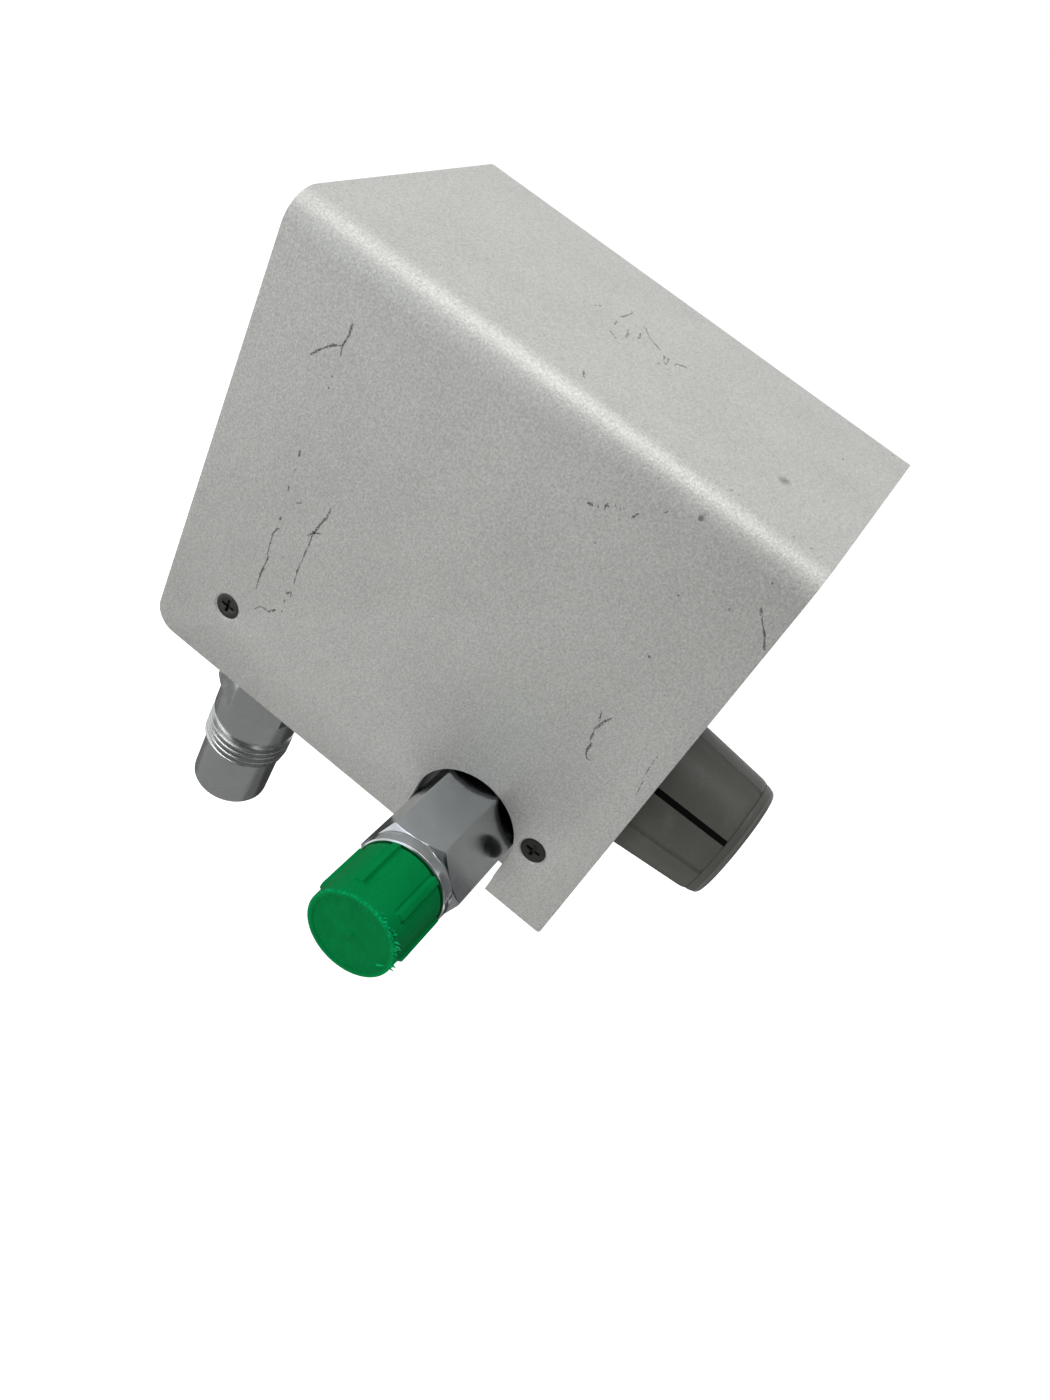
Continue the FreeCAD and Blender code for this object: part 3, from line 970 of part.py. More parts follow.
def make_proportioning_valve():
    """Make the mixing valve: ported sleeve, two seats, driven spool, spring, plug, pin and seals."""
    front = ("0", BLOCK_FRONT, KNOB_Z)
    sleeve = new_body("proportioning_sleeve", front, "+Y")
    turned(sleeve, "shape", [
        ("shaft_radius + run_gap", "-sleeve_flange"), ("sleeve_flange_radius", "-sleeve_flange"),
        ("sleeve_flange_radius", "0"), ("sleeve_radius", "0"), ("sleeve_radius", "sleeve_length"),
        ("sleeve_bore", "sleeve_length"), ("sleeve_bore", "gland_length"),
        ("shaft_radius + run_gap", "gland_length")])
    for gas in ("oxygen", "mix", "air"):
        station, groove_floor = f"{gas}_port_station", "sleeve_radius - port_groove_depth"
        near, far = f"{station} - port_groove_half", f"{station} + port_groove_half"
        turned(sleeve, f"{gas}_port_groove", [
            (groove_floor, near), ("sleeve_radius + 1", near),
            ("sleeve_radius + 1", far), (groove_floor, far)], cut=True)
        add(sleeve, "SubtractiveCylinder", f"{gas}_port", ("0", "0", station), "-Y",
            Radius="port_radius", Height="sleeve_radius + 1")
    seals = []
    low_floor = "sleeve_radius + fit_gap - 2 * sleeve_seal_section"
    for spot, station in seal_stations():
        low, high = f"{station} - sleeve_seal_section", f"{station} + sleeve_seal_section"
        turned(sleeve, f"{spot}_seal_groove", [
            (low_floor, low), ("sleeve_radius + 1", low),
            ("sleeve_radius + 1", high), (low_floor, high)], cut=True)
        seals.append(seal_ring(f"{spot}_sleeve_seal", ("0", f"{BLOCK_FRONT} + {station}", KNOB_Z), "+Y",
                               "(sleeve_radius + fit_gap)", "sleeve_seal_section", node=False))
    group("sleeve_seals", seals)
    add(sleeve, "SubtractiveCylinder", "pin_hole", ("0", "0", "guide_pin_station"), "+X",
        Radius="guide_pin_radius + fit_gap", Height="sleeve_radius + 1")
    pin = new_body("spool_guide_pin", ("0", f"{BLOCK_FRONT} + guide_pin_station", KNOB_Z), "+X")
    turned(pin, "shape", [
        ("0", "guide_slot_floor + guide_pin_gap"), ("guide_pin_radius", "guide_slot_floor + guide_pin_gap"),
        ("guide_pin_radius", "sleeve_radius - guide_pin_recess"), ("0", "sleeve_radius - guide_pin_recess")])
    for name, station in (("oxygen_seat", "oxygen_seat_station"), ("air_seat", AIR_SEAT)):
        seat = new_body(name, ("0", f"{BLOCK_FRONT} + {station}", KNOB_Z), "+Y")
        turned(seat, "shape", [
            ("seat_hole", "0"), ("sleeve_bore - fit_gap", "0"), ("sleeve_bore - fit_gap", "seat_thickness"),
            ("seat_hole", "seat_thickness")])
    spool = new_body("mixing_spool", front, "+Y")
    cup_end = "(spool_cup_start + spool_cup_length)"
    bobbin_end = f"({BOBBIN_START} + bobbin_length)"
    tail = f"({SPOOL_COLLAR} + spool_collar_length)"
    thread_end = "(spool_cup_start + spool_thread_depth)"
    near_hollow, far_hollow = f"{BOBBIN_START} + bobbin_relief", f"{bobbin_end} - bobbin_relief"
    turned(spool, "shape", [
        ("drive_screw_radius + run_gap", "spool_cup_start"), ("spool_cup_radius", "spool_cup_start"),
        ("spool_cup_radius", cup_end), ("spool_stem", cup_end), ("spool_stem", near_hollow),
        ("seat_hole - bobbin_edge", near_hollow), ("seat_hole + bobbin_edge", BOBBIN_START),
        ("bobbin_radius", BOBBIN_START), ("bobbin_radius", bobbin_end),
        ("seat_hole + bobbin_edge", bobbin_end),
        ("seat_hole - bobbin_edge", far_hollow), ("spool_stem", far_hollow),
        ("spool_stem", SPOOL_COLLAR), ("spool_collar_radius", SPOOL_COLLAR),
        ("spool_collar_radius", tail), ("0", tail), ("0", thread_end),
        ("drive_screw_radius + run_gap", thread_end)])
    add(spool, "SubtractiveBox", "guide_slot",
        ("guide_slot_floor", "-guide_pin_radius - run_gap", "spool_cup_start - 1"),
        Length="3", Width="2 * guide_pin_radius + 2 * run_gap", Height="spool_cup_length + 2")
    plug = "(sleeve_length - plug_length)"
    spring("spool_spring", ("0", f"{BLOCK_FRONT} + {tail}", KNOB_Z), "+Y", f"{plug} - {tail}",
           "spool_collar_radius", "wire_size", 3)
    end_plug = new_body("sleeve_plug", ("0", f"{BLOCK_FRONT} + {plug}", KNOB_Z), "+Y")
    turned(end_plug, "shape", [
        ("0", "0"), ("sleeve_bore - fit_gap", "0"), ("sleeve_bore - fit_gap", "plug_length"),
        ("plug_recess", "plug_length"), ("plug_recess", "plug_length / 2"), ("0", "plug_length / 2")])


def seal_stations():
    """Give the places of the sleeve's seals, between its ports."""
    return [("front", "front_seal_station"), ("middle", "(oxygen_port_station + mix_port_station) / 2"),
            ("rear", "(mix_port_station + air_port_station) / 2"), ("end", "air_port_station + end_seal_gap")]


def make_balance_module():
    """Make the module that brings both gases to one pressure: two housings, diaphragm, spool, springs."""
    axis = ("0", BALANCE_Y, BALANCE_Z)
    middle = "(diaphragm_thickness / 2)"
    for gas, along in (("oxygen", "-Y"), ("air", "+Y")):
        housing = new_body(f"balance_{gas}_housing", axis, along)
        turned(housing, "shape", [
            ("0", middle), ("balance_flange_radius", middle), ("balance_flange_radius", "balance_flange"),
            ("balance_radius", "balance_flange"), ("balance_radius", "balance_length - balance_edge"),
            ("balance_radius - balance_edge", "balance_length"), ("0", "balance_length")])
        foot = "-balance_flange_radius"
        if along == "+Y":
            foot = "balance_flange_radius - balance_foot_height"
        add(housing, "AdditiveBox", "foot", (f"-{FOOT_SIDE}", foot, middle),
            Length=f"2 * {FOOT_SIDE}", Width="balance_foot_height", Height=f"balance_length - {middle}")
        turned(housing, "hollow", [
            ("0", middle), ("balance_chamber_radius", middle),
            ("balance_chamber_radius", "balance_chamber_depth"),
            ("balance_seat_bore", "balance_chamber_depth"), ("balance_seat_bore", "balance_seat_station"),
            ("balance_spring_bore", "balance_seat_station"), ("balance_spring_bore", "balance_spring_end"),
            ("0", "balance_spring_end")], cut=True)
        top = "balance_screw_circle" if along == "-Y" else "-balance_screw_circle"
        hole = add(housing, "SubtractiveCylinder", "clamp_hole", ("0", top, "0"),
                   Radius="balance_screw_radius + fit_gap", Height="balance_flange + 1")
        repeated(housing, "clamp_holes", hole, "balance_screw_count")
        spring_seat = f"{BALANCE_Y} {along[0]} ({BALANCE_HEAD} + balance_head)"
        depth = "balance_length - foot_screw_inset"
        for side, sign, _, _ in SIDES:
            start = f"{foot} - 1"
            add(housing, "SubtractiveCylinder", f"{side}_foot_hole",
                (f"{sign}{FOOT_SCREW_X}", start, depth), "+Y",
                Radius="foot_screw_radius + fit_gap", Height="balance_foot_height + 2")
        spring(f"balance_{gas}_spring", ("0", spring_seat, BALANCE_Z), along,
               f"balance_spring_end - {BALANCE_HEAD} - balance_head",
               "(balance_head_radius - run_gap)", "wire_size", 2)
    rim = "balance_flange_radius - diaphragm_inset"
    disc = new_body("balance_diaphragm", ("0", f"{BALANCE_Y} - {middle}", BALANCE_Z), "+Y")
    turned(disc, "shape", [
        ("balance_stem + fit_gap", "0"), (rim, "0"), (rim, "diaphragm_thickness"),
        ("balance_stem + fit_gap", "diaphragm_thickness")])
    hole = add(disc, "SubtractiveCylinder", "clamp_hole", ("0", "-balance_screw_circle", "-1"),
               Radius="balance_screw_radius + fit_gap", Height="diaphragm_thickness + 2")
    repeated(disc, "clamp_holes", hole, "balance_screw_count")
    spool = new_body("balance_spool", axis, "+Y")
    plate = f"({middle} + balance_disc)"
    far = f"({BALANCE_HEAD} + balance_head)"
    half = [("balance_stem", middle), ("balance_disc_radius", middle), ("balance_disc_radius", plate),
            ("balance_stem", plate), ("balance_stem", BALANCE_HEAD), ("balance_head_radius", BALANCE_HEAD),
            ("balance_head_radius", far), ("0", far)]
    mirrored = [(radius, f"-{station}") for radius, station in reversed(half)]
    turned(spool, "shape", mirrored + half)
    screws = []
    count = round(value("balance_screw_count"))
    head = "balance_screw_head_height"
    for number in range(count):
        arm = f"balance_screw_circle * sin({number} * 360 deg / balance_screw_count)"
        rise = f"balance_screw_circle * cos({number} * 360 deg / balance_screw_count)"
        spot = (arm, f"{BALANCE_Y} - balance_flange - {head}", f"{BALANCE_Z} + {rise}")
        screw = new_body(f"clamp_screw_{number + 1}", spot, "+Y", node=False)
        turned(screw, "shape", [
            ("0", "0"), ("balance_screw_head", "0"), ("balance_screw_head", head),
            ("balance_screw_radius", head),
            ("balance_screw_radius", f"2 * balance_flange + {head}"), ("0", f"2 * balance_flange + {head}")])
        screws.append(screw)
    group("balance_screws", screws)
    feet = []
    for side, sign, _, _ in SIDES:
        for end, depth in foot_screw_places():
            head_top = f"{BLOCK_TOP} + balance_foot_height + foot_screw_head_height"
            spot = (f"{sign}{FOOT_SCREW_X}", depth, head_top)
            screw = new_body(f"{side}_{end}_foot_screw", spot, "-Z", node=False)
            reach = "foot_screw_head_height + balance_foot_height + foot_screw_reach"
            turned(screw, "shape", [
                ("0", "0"), ("foot_screw_head", "0"), ("foot_screw_head", "foot_screw_head_height"),
                ("foot_screw_radius", "foot_screw_head_height"),
                ("foot_screw_radius", reach), ("0", reach)])
            feet.append(screw)
    group("foot_screws", feet)


def make_alarm_module():
    """Make the pressure alarm: housing, poppet, spring and the slotted reed plate on top."""
    axis = ("0", ALARM_Y)
    housing = new_body("alarm_housing", (*axis, BLOCK_TOP))
    turned(housing, "shape", [
        ("passage_radius", "0"), ("alarm_flange_radius", "0"), ("alarm_flange_radius", "alarm_flange"),
        ("alarm_radius", "alarm_flange"), ("alarm_radius", "alarm_height"), ("alarm_bore", "alarm_height"),
        ("alarm_bore", "alarm_floor"), ("passage_radius", "alarm_floor")])
    poppet = new_body("alarm_poppet", (*axis, f"{BLOCK_TOP} + alarm_floor + seat_gap"))
    turned(poppet, "shape", [
        ("0", "0"), ("alarm_bore - run_gap", "0"), ("alarm_bore - run_gap", "alarm_poppet_height"),
        ("0", "alarm_poppet_height")])
    start = "(alarm_floor + seat_gap + alarm_poppet_height)"
    spring("alarm_spring", (*axis, f"{BLOCK_TOP} + {start}"), "+Z", f"alarm_height - {start}",
           "(alarm_bore - 2 * run_gap)", "stiff_wire_size", 3)
    plate = new_body("alarm_reed_plate", (*axis, f"{BLOCK_TOP} + alarm_height"))
    turned(plate, "shape", [
        ("0", "0"), ("alarm_radius", "0"), ("alarm_radius", "reed_thickness"), ("0", "reed_thickness")])
    for name, shift in (("near_slot", "-"), ("far_slot", "")):
        add(plate, "SubtractiveBox", name,
            ("-reed_slot_length / 2", f"{shift}reed_slot_shift - reed_slot_width / 2", "-1"),
            Length="reed_slot_length", Width="reed_slot_width", Height="reed_thickness + 2")


def check_and_export():
    """Stop on any object that failed, then write one file for each node."""
    doc.recompute()
    for thing in doc.Objects:
        if "Invalid" in thing.State or "Error" in thing.State:
            raise ValueError(f"{thing.Label} failed: {thing.State}")
    os.makedirs("parts", exist_ok=True)
    for name, piece in nodes.items():
        shape = piece.Shape
        if shape.isNull() or not shape.isValid() or not shape.Solids:
            raise ValueError(f"{name} has no valid solid")
        shape.exportStep(f"parts/{name}.step")


make_cover()
make_chassis()
make_dial_plate()
make_cover_fasteners()
make_mounting_nuts()
make_manifold_block()
make_manifold_screws()
make_outlet_fitting()
make_outlet_valve()
make_outlet_cap()
make_inlet("air", "-")
make_inlet("oxygen", "")
make_knob()
make_control_shaft()
make_panel_bushing()
make_proportioning_valve()
make_balance_module()
make_alarm_module()
check_and_export()
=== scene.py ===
import json
import math

import bmesh
import bpy
import numpy as np
from bpy.props import FloatProperty, FloatVectorProperty, IntProperty, PointerProperty
from mathutils import Matrix, Vector

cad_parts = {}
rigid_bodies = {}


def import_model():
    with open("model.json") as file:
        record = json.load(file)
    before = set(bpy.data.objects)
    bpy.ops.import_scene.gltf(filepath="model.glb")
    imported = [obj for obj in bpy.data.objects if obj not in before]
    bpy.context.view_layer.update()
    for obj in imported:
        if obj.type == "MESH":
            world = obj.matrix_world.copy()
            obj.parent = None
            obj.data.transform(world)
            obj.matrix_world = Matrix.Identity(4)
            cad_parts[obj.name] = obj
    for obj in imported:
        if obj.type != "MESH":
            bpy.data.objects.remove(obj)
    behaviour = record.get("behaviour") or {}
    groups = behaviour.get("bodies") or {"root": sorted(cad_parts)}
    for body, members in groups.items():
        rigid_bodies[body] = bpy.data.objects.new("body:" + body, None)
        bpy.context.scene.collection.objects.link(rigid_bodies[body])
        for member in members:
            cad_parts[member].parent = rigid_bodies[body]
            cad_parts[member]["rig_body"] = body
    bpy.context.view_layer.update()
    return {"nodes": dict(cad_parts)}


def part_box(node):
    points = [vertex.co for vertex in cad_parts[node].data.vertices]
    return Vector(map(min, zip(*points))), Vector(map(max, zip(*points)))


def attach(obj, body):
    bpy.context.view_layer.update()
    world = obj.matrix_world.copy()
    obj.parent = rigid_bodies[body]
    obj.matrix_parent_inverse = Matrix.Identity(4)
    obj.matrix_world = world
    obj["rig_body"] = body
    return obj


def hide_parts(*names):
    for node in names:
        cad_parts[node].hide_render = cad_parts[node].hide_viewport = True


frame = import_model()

bl_info = {
    "name": "Air Oxygen Blender",
    "version": (1, 0, 0),
    "blender": (4, 5, 0),
    "location": "3D View > Sidebar > Gas Blender",
    "description": "Dresses the gas blender's solids with its paint, threads, knob, cap, scale and wear",
    "category": "Object",
}

MM = 0.001
X, Y, Z = Vector((1, 0, 0)), Vector((0, 1, 0)), Vector((0, 0, 1))

# Axes in metres, sizes in millimetres, angles in radians
OUTLET_AXIS = (-0.027, -0.0786, -0.03715)
KNOB_AXIS = (0.0, -0.1042, -0.02695)
POINTER = math.radians(148)
CAP_AXIS = (-78.6, -37.15)
CAP_MOUTH = -58.7
CAP_END = -73.8
BAR_ACROSS = 19.05
BAR_CHAMFER = 1.3
BAR_FACE = 9.425
BAR_ROUNDING = 0.7
COVER_TOP = 48.25
SMUDGE = (-13.3, -88.9)
KNOB_LENGTH = 17.8
KNOB_FOOT = 15.8
KNOB_TAPER = 1.6
GROOVE_REACH = 15
GROOVE_RADIUS = 1.1
GROOVE_SET_BACK = 0.65
FIRST_GROOVE = math.radians(33)
RIB_RADIUS = 9.3
SKIN_SHARP = math.radians(38)
THREAD_RUNOUT = 1.2
THREAD_STEPS = 14
EASE_STEPS = 4
MARK_WIDTH = 0.42
MARK_STEP = 0.22
MARK_WANDER = 0.05
MARK_FADE = 0.35

# Camera that fits the photo: focal length in millimetres, place in metres
PHOTO_LENS = 28.8353
PHOTO_CAMERA = (
    (0.45968074, 0.42610039, -0.77918680, -0.191568),
    (-0.77771592, 0.61675457, -0.12153911, -0.100364),
    (0.42877916, 0.66185516, 0.61489526, 0.119305),
    (0, 0, 0, 1))


# Sizes and colours a user may change

def colour_setting(name, description, default):
    return FloatVectorProperty(name=name, description=description, subtype="COLOR", size=3, min=0, max=1,
                               default=default)


def length_setting(name, description, default, least=0.0, precision=5):
    return FloatProperty(name=name, description=description, subtype="DISTANCE", unit="LENGTH",
                         default=default, min=least, precision=precision)


def power_setting(name, description, default):
    return FloatProperty(name=name, description=description, unit="POWER", default=default, min=0)


def share_setting(name, description, default):
    return FloatProperty(name=name, description=description, subtype="FACTOR", default=default, min=0,
                         max=1)


class PaintSettings(bpy.types.PropertyGroup):
    """Powder coat of the cover."""
    colour: colour_setting("Colour", "Powder coat colour", (0.455, 0.457, 0.437))
    grain: FloatProperty(name="Grain", description="Size of the powder coat's grain in millimetres",
                         default=0.62, min=0.1, max=5)
    grain_depth: length_setting("Grain depth", "Height of the grain", 0.00009, precision=6)
    sheen: share_setting("Sheen", "Share of the paint that shines as metal flake", 0.33)
    edge: length_setting("Edge", "Rounding of the sheet's cut edges", 0.00022)


class ThreadSettings(bpy.types.PropertyGroup):
    """Hexagon fittings with a rolled thread."""
    outlet_pitch: length_setting("Outlet pitch", "Pitch of the outlet and oxygen threads", 0.001411,
                                 0.0005, 6)
    air_pitch: length_setting("Air pitch", "Pitch of the air inlet's thread", 0.0015875, 0.0005, 6)
    columns: IntProperty(name="Columns", description="Points round a turned piece",
                         default=144, min=24, max=360)


class CapSettings(bpy.types.PropertyGroup):
    """Moulded cap of the outlet."""
    colour: colour_setting("Colour", "Cap colour", (0.0, 0.19, 0.047))
    rib_width: length_setting("Rib width", "Width of a grip rib", 0.0017, 0.0002)


class KnobSettings(bpy.types.PropertyGroup):
    """Control knob."""
    colour: colour_setting("Colour", "Knob colour", (0.082, 0.085, 0.073))
    cap_colour: colour_setting("End cap colour", "Colour of the knob's end cap", (0.125, 0.127, 0.115))


class ScaleSettings(bpy.types.PropertyGroup):
    """Printed scale round the knob."""
    lowest: IntProperty(name="Lowest", description="First number of the scale, per cent",
                        subtype="PERCENTAGE", default=21, min=0, max=100)
    highest: IntProperty(name="Highest", description="Last number of the scale, per cent",
                         subtype="PERCENTAGE", default=100, min=1, max=100)
    number_height: length_setting("Number height", "Height of the printed numbers", 0.0034, 0.001)


class StudioSettings(bpy.types.PropertyGroup):
    """Floor and lamps."""
    floor_drop: length_setting("Floor drop", "Floor below the gas blender's middle", 0.34, 0.1, 2)
    floor_tone: share_setting("Floor", "Paleness of the floor", 0.7)
    key_power: power_setting("Key lamp", "Power of the lamp above", 9.7)
    fill_power: power_setting("Fill lamp", "Power of the lamp on the left", 0.85)
    near_power: power_setting("Near lamp", "Power of the small lamp beside the outlet", 0.22)
    sky: FloatProperty(name="Soft light", description="Strength of the light from all round",
                       default=0.27, min=0)


# Node helpers

def feed(tree, node, inputs):
    """Set a node's inputs; a socket given as an input is linked."""
    for key, source in inputs.items():
        if isinstance(source, bpy.types.NodeSocket):
            tree.links.new(source, node.inputs[key])
        else:
            node.inputs[key].default_value = source


def add_node(tree, kind, inputs=None, **settings):
    """Add one node, set its fields and feed its inputs."""
    node = tree.nodes.new(kind)
    for name, setting in settings.items():
        setattr(node, name, setting)
    feed(tree, node, inputs or {})
    return node


def math_node(tree, operation, first, second=0.0):
    return add_node(tree, "ShaderNodeMath", {0: first, 1: second}, operation=operation).outputs[0]


def multiply(tree, first, second):
    return math_node(tree, "MULTIPLY", first, second)


def add(tree, first, second):
    return math_node(tree, "ADD", first, second)


def vector_node(tree, operation, inputs):
    """One vector operation; a length or a dot product gives a value, the others a vector."""
    node = add_node(tree, "ShaderNodeVectorMath", inputs, operation=operation)
    return node.outputs["Value" if operation in ("LENGTH", "DOT_PRODUCT") else "Vector"]


def remap(tree, source, low, high, to_low, to_high):
    """Spread a value's range over another range, held at both ends."""
    node = add_node(tree, "ShaderNodeMapRange",
                    {"Value": source, "From Min": low, "From Max": high, "To Min": to_low, "To Max": to_high})
    return node.outputs["Result"]


def blend_colour(tree, factor, first, second):
    node = add_node(tree, "ShaderNodeMix", data_type="RGBA")
    feed(tree, node, {0: factor, 6: first, 7: second})
    return node.outputs[2]


def noise(tree, vector, size, detail, roughness):
    """Noise whose features are about as long as size, in millimetres."""
    linked = isinstance(size, bpy.types.NodeSocket)
    scale = math_node(tree, "DIVIDE", 1.0, size) if linked else 1.0 / size
    return add_node(tree, "ShaderNodeTexNoise", {"Vector": vector, "Scale": scale, "Detail": detail,
                                                 "Roughness": roughness}).outputs["Fac"]


FLOAT, VECTOR, COLOUR = "NodeSocketFloat", "NodeSocketVector", "NodeSocketColor"


def new_effect(name, inputs, outputs):
    """Start a shader node group; inputs are (name, kind, default), and all groups take a place."""
    tree = bpy.data.node_groups.new(name, "ShaderNodeTree")
    for label, kind, default in [("Place", VECTOR, None), *inputs]:
        socket = tree.interface.new_socket(name=label, in_out="INPUT", socket_type=kind)
        if default is not None:
            socket.default_value = default
    for label, kind in outputs:
        tree.interface.new_socket(name=label, in_out="OUTPUT", socket_type=kind)
    return tree, tree.nodes.new("NodeGroupInput").outputs, tree.nodes.new("NodeGroupOutput").inputs


def grain_effect():
    """Fine pebbled grain of powder coat and moulded plastic."""
    tree, given, result = new_effect(
        "Fine grain", [("Size", FLOAT, 0.6)],
        [("Height", FLOAT), ("Mask", FLOAT)])
    place = given["Place"]
    size = given["Size"]
    fine = noise(tree, place, multiply(tree, size, 0.62), 3.0, 0.62)
    coarse = noise(tree, place, multiply(tree, size, 1.7), 1.0, 0.5)
    height = add(tree, multiply(tree, fine, 0.75), multiply(tree, coarse, 0.25))
    tree.links.new(height, result["Height"])
    tree.links.new(remap(tree, fine, 0.36, 0.64, 0.0, 1.0), result["Mask"])
    return tree


def drift_effect():
    """Slow change of a colour over a surface, with a fine fleck in it."""
    tree, given, result = new_effect(
        "Colour drift",
        [("Colour", COLOUR, (0.5, 0.5, 0.5, 1)),
         ("Size", FLOAT, 12.0), ("Amount", FLOAT, 0.06), ("Fleck", FLOAT, 0.05)],
        [("Colour", COLOUR)])
    place = given["Place"]
    slow = noise(tree, place, given["Size"], 3.0, 0.55)
    fleck = noise(tree, place, 0.4, 2.0, 0.6)
    shift = multiply(tree, math_node(tree, "SUBTRACT", slow, 0.5), given["Amount"])
    spot = multiply(tree, math_node(tree, "SUBTRACT", fleck, 0.5), given["Fleck"])
    level = add(tree, multiply(tree, add(tree, shift, spot), 4.0), 1.0)
    scaled = vector_node(tree, "SCALE", {0: given["Colour"], "Scale": level})
    tree.links.new(scaled, result["Colour"])
    return tree


def turning_effect():
    """Fine rings a lathe leaves round an axis, and a light handling haze."""
    tree, given, result = new_effect(
        "Turning marks",
        [("Axis", VECTOR, (1.0, 0.0, 0.0)),
         ("Spacing", FLOAT, 0.12)],
        [("Height", FLOAT), ("Haze", FLOAT)])
    place = given["Place"]
    along = vector_node(tree, "DOT_PRODUCT", {0: place, 1: given["Axis"]})
    station = math_node(tree, "DIVIDE", along, given["Spacing"])
    rings = add_node(tree, "ShaderNodeTexNoise", {"W": station, "Scale": 1.0, "Detail": 2.0},
                     noise_dimensions="1D")
    haze = noise(tree, place, 3.5, 4.0, 0.6)
    tree.links.new(rings.outputs["Fac"], result["Height"])
    tree.links.new(remap(tree, haze, 0.35, 0.7, 0.0, 1.0), result["Haze"])
    return tree


def soiling_effect():
    """Sparse small specks and rubbed patches."""
    tree, given, result = new_effect(
        "Specks and rubs", [("Size", FLOAT, 4.0)],
        [("Specks", FLOAT), ("Rubs", FLOAT)])
    place = given["Place"]
    cells = add_node(tree, "ShaderNodeTexVoronoi",
                     {"Vector": place, "Scale": math_node(tree, "DIVIDE", 1.0, given["Size"])},
                     feature="F1")
    torn = noise(tree, place, 0.5, 3.0, 0.7)
    spread = add(tree, cells.outputs["Distance"], multiply(tree, torn, 0.08))
    tree.links.new(remap(tree, spread, 0.07, 0.1, 1.0, 0.0), result["Specks"])
    rubbed = noise(tree, place, multiply(tree, given["Size"], 1.6), 6.0, 0.7)
    tree.links.new(remap(tree, rubbed, 0.56, 0.72, 0.0, 1.0), result["Rubs"])
    return tree


def rim_wear_effect():
    """Rubbed flecks along the rim of a round end, and a few on its face."""
    tree, given, result = new_effect(
        "Rim wear and painted light",
        [("Centre", VECTOR, (0.0, 0.0, 0.0)),
         ("Axis", VECTOR, (-1.0, 0.0, 0.0)), ("Radius", FLOAT, 9.0)],
        [("Mask", FLOAT), ("Painted end shade", FLOAT)])
    place = given["Place"]
    offset = vector_node(tree, "SUBTRACT", {0: place, 1: given["Centre"]})
    along = vector_node(tree, "DOT_PRODUCT", {0: offset, 1: given["Axis"]})
    straight = vector_node(tree, "LENGTH", {0: offset})
    outward = math_node(tree, "SUBTRACT", multiply(tree, straight, straight), multiply(tree, along, along))
    share = math_node(tree, "DIVIDE", math_node(tree, "SQRT", outward), given["Radius"])
    edge = remap(tree, share, 0.95, 0.985, 0.0, 1.0)
    face = remap(tree, along, -0.7, -0.3, 0.0, 1.0)
    torn = noise(tree, place, 0.55, 3.0, 0.65)
    rubbed = multiply(tree, remap(tree, torn, 0.47, 0.6, 0.0, 1.0), edge)
    # Lighter spots on the end face are painted highlights, standing for light caught by the cap's embossed
    # end
    painted_glints = multiply(tree, remap(tree, torn, 0.64, 0.7, 0.0, 0.55), remap(tree, share, 0.45, 0.75, 0.0, 1.0))
    wear_and_glints = multiply(tree, math_node(tree, "MAXIMUM", rubbed, painted_glints), face)
    tree.links.new(wear_and_glints, result["Mask"])
    # Second output: painted shade that darkens the end face, uneven over it
    uneven_end_shade = remap(tree, noise(tree, place, 2.5, 4.0, 0.6), 0.3, 0.6, 0.6, 1.0)
    end = multiply(tree, remap(tree, share, 0.9, 0.98, 1.0, 0.0), remap(tree, along, -0.5, -0.3, 0.0, 1.0))
    tree.links.new(multiply(tree, uneven_end_shade, end), result["Painted end shade"])
    return tree


EFFECTS = {}
EFFECT_MAKERS = {"grain": grain_effect, "drift": drift_effect, "turning": turning_effect,
                 "soiling": soiling_effect, "rim_wear": rim_wear_effect}


def effect(tree, name, place, **inputs):
    """Place one shared effect in a material with its own values."""
    if name not in EFFECTS:
        EFFECTS[name] = EFFECT_MAKERS[name]()
    inputs["Place"] = place
    return add_node(tree, "ShaderNodeGroup", inputs, node_tree=EFFECTS[name]).outputs


def plain_material(name, **settings):
    """Start a material: its tree and its surface shader, with the shader's own inputs set."""
    material = bpy.data.materials.new(name)
    material.use_nodes = True
    tree = material.node_tree
    surface = next(n for n in tree.nodes if n.type == "BSDF_PRINCIPLED")
    for key, setting in settings.items():
        surface.inputs[key.replace("_", " ")].default_value = setting
    return material, tree, surface


def new_material(name, **settings):
    """Start a material that also knows the place on the piece, in millimetres."""
    material, tree, surface = plain_material(name, **settings)
    where = add_node(tree, "ShaderNodeTexCoord")
    place = vector_node(tree, "SCALE", {0: where.outputs["Object"], "Scale": 1.0 / MM})
    return material, tree, surface, place


def raise_surface(tree, surface, height, distance):
    """Give a surface relief; distance is the height of the relief in metres."""
    bump = add_node(tree, "ShaderNodeBump", {"Height": height, "Distance": distance, "Strength": 1.0})
    tree.links.new(bump.outputs["Normal"], surface.inputs["Normal"])


def rgba(colour):
    return (*colour, 1.0)


# Materials

def powder_coat(name="cover_paint", colour=None, depth=1.0):
    """Light grey powder coat with a fine sparkling grain."""
    paint = bpy.context.scene.blender_paint
    material, tree, surface, place = new_material(name, Metallic=paint.sheen, IOR=1.5)
    grain = effect(tree, "grain", place, Size=paint.grain)
    colours = effect(tree, "drift", place, Colour=rgba(colour or paint.colour), Size=15.0,
                                     Amount=0.045, Fleck=0.24)
    soiled = effect(tree, "soiling", place, Size=9.0)
    shade = blend_colour(tree, multiply(tree, soiled["Rubs"], 0.10), colours["Colour"],
                         (0.40, 0.39, 0.36, 1))
    tree.links.new(shade, surface.inputs["Base Color"])
    tree.links.new(remap(tree, grain["Mask"], 0.0, 1.0, 0.44, 0.58), surface.inputs["Roughness"])
    raise_surface(tree, surface, grain["Height"], paint.grain_depth * depth)
    return material


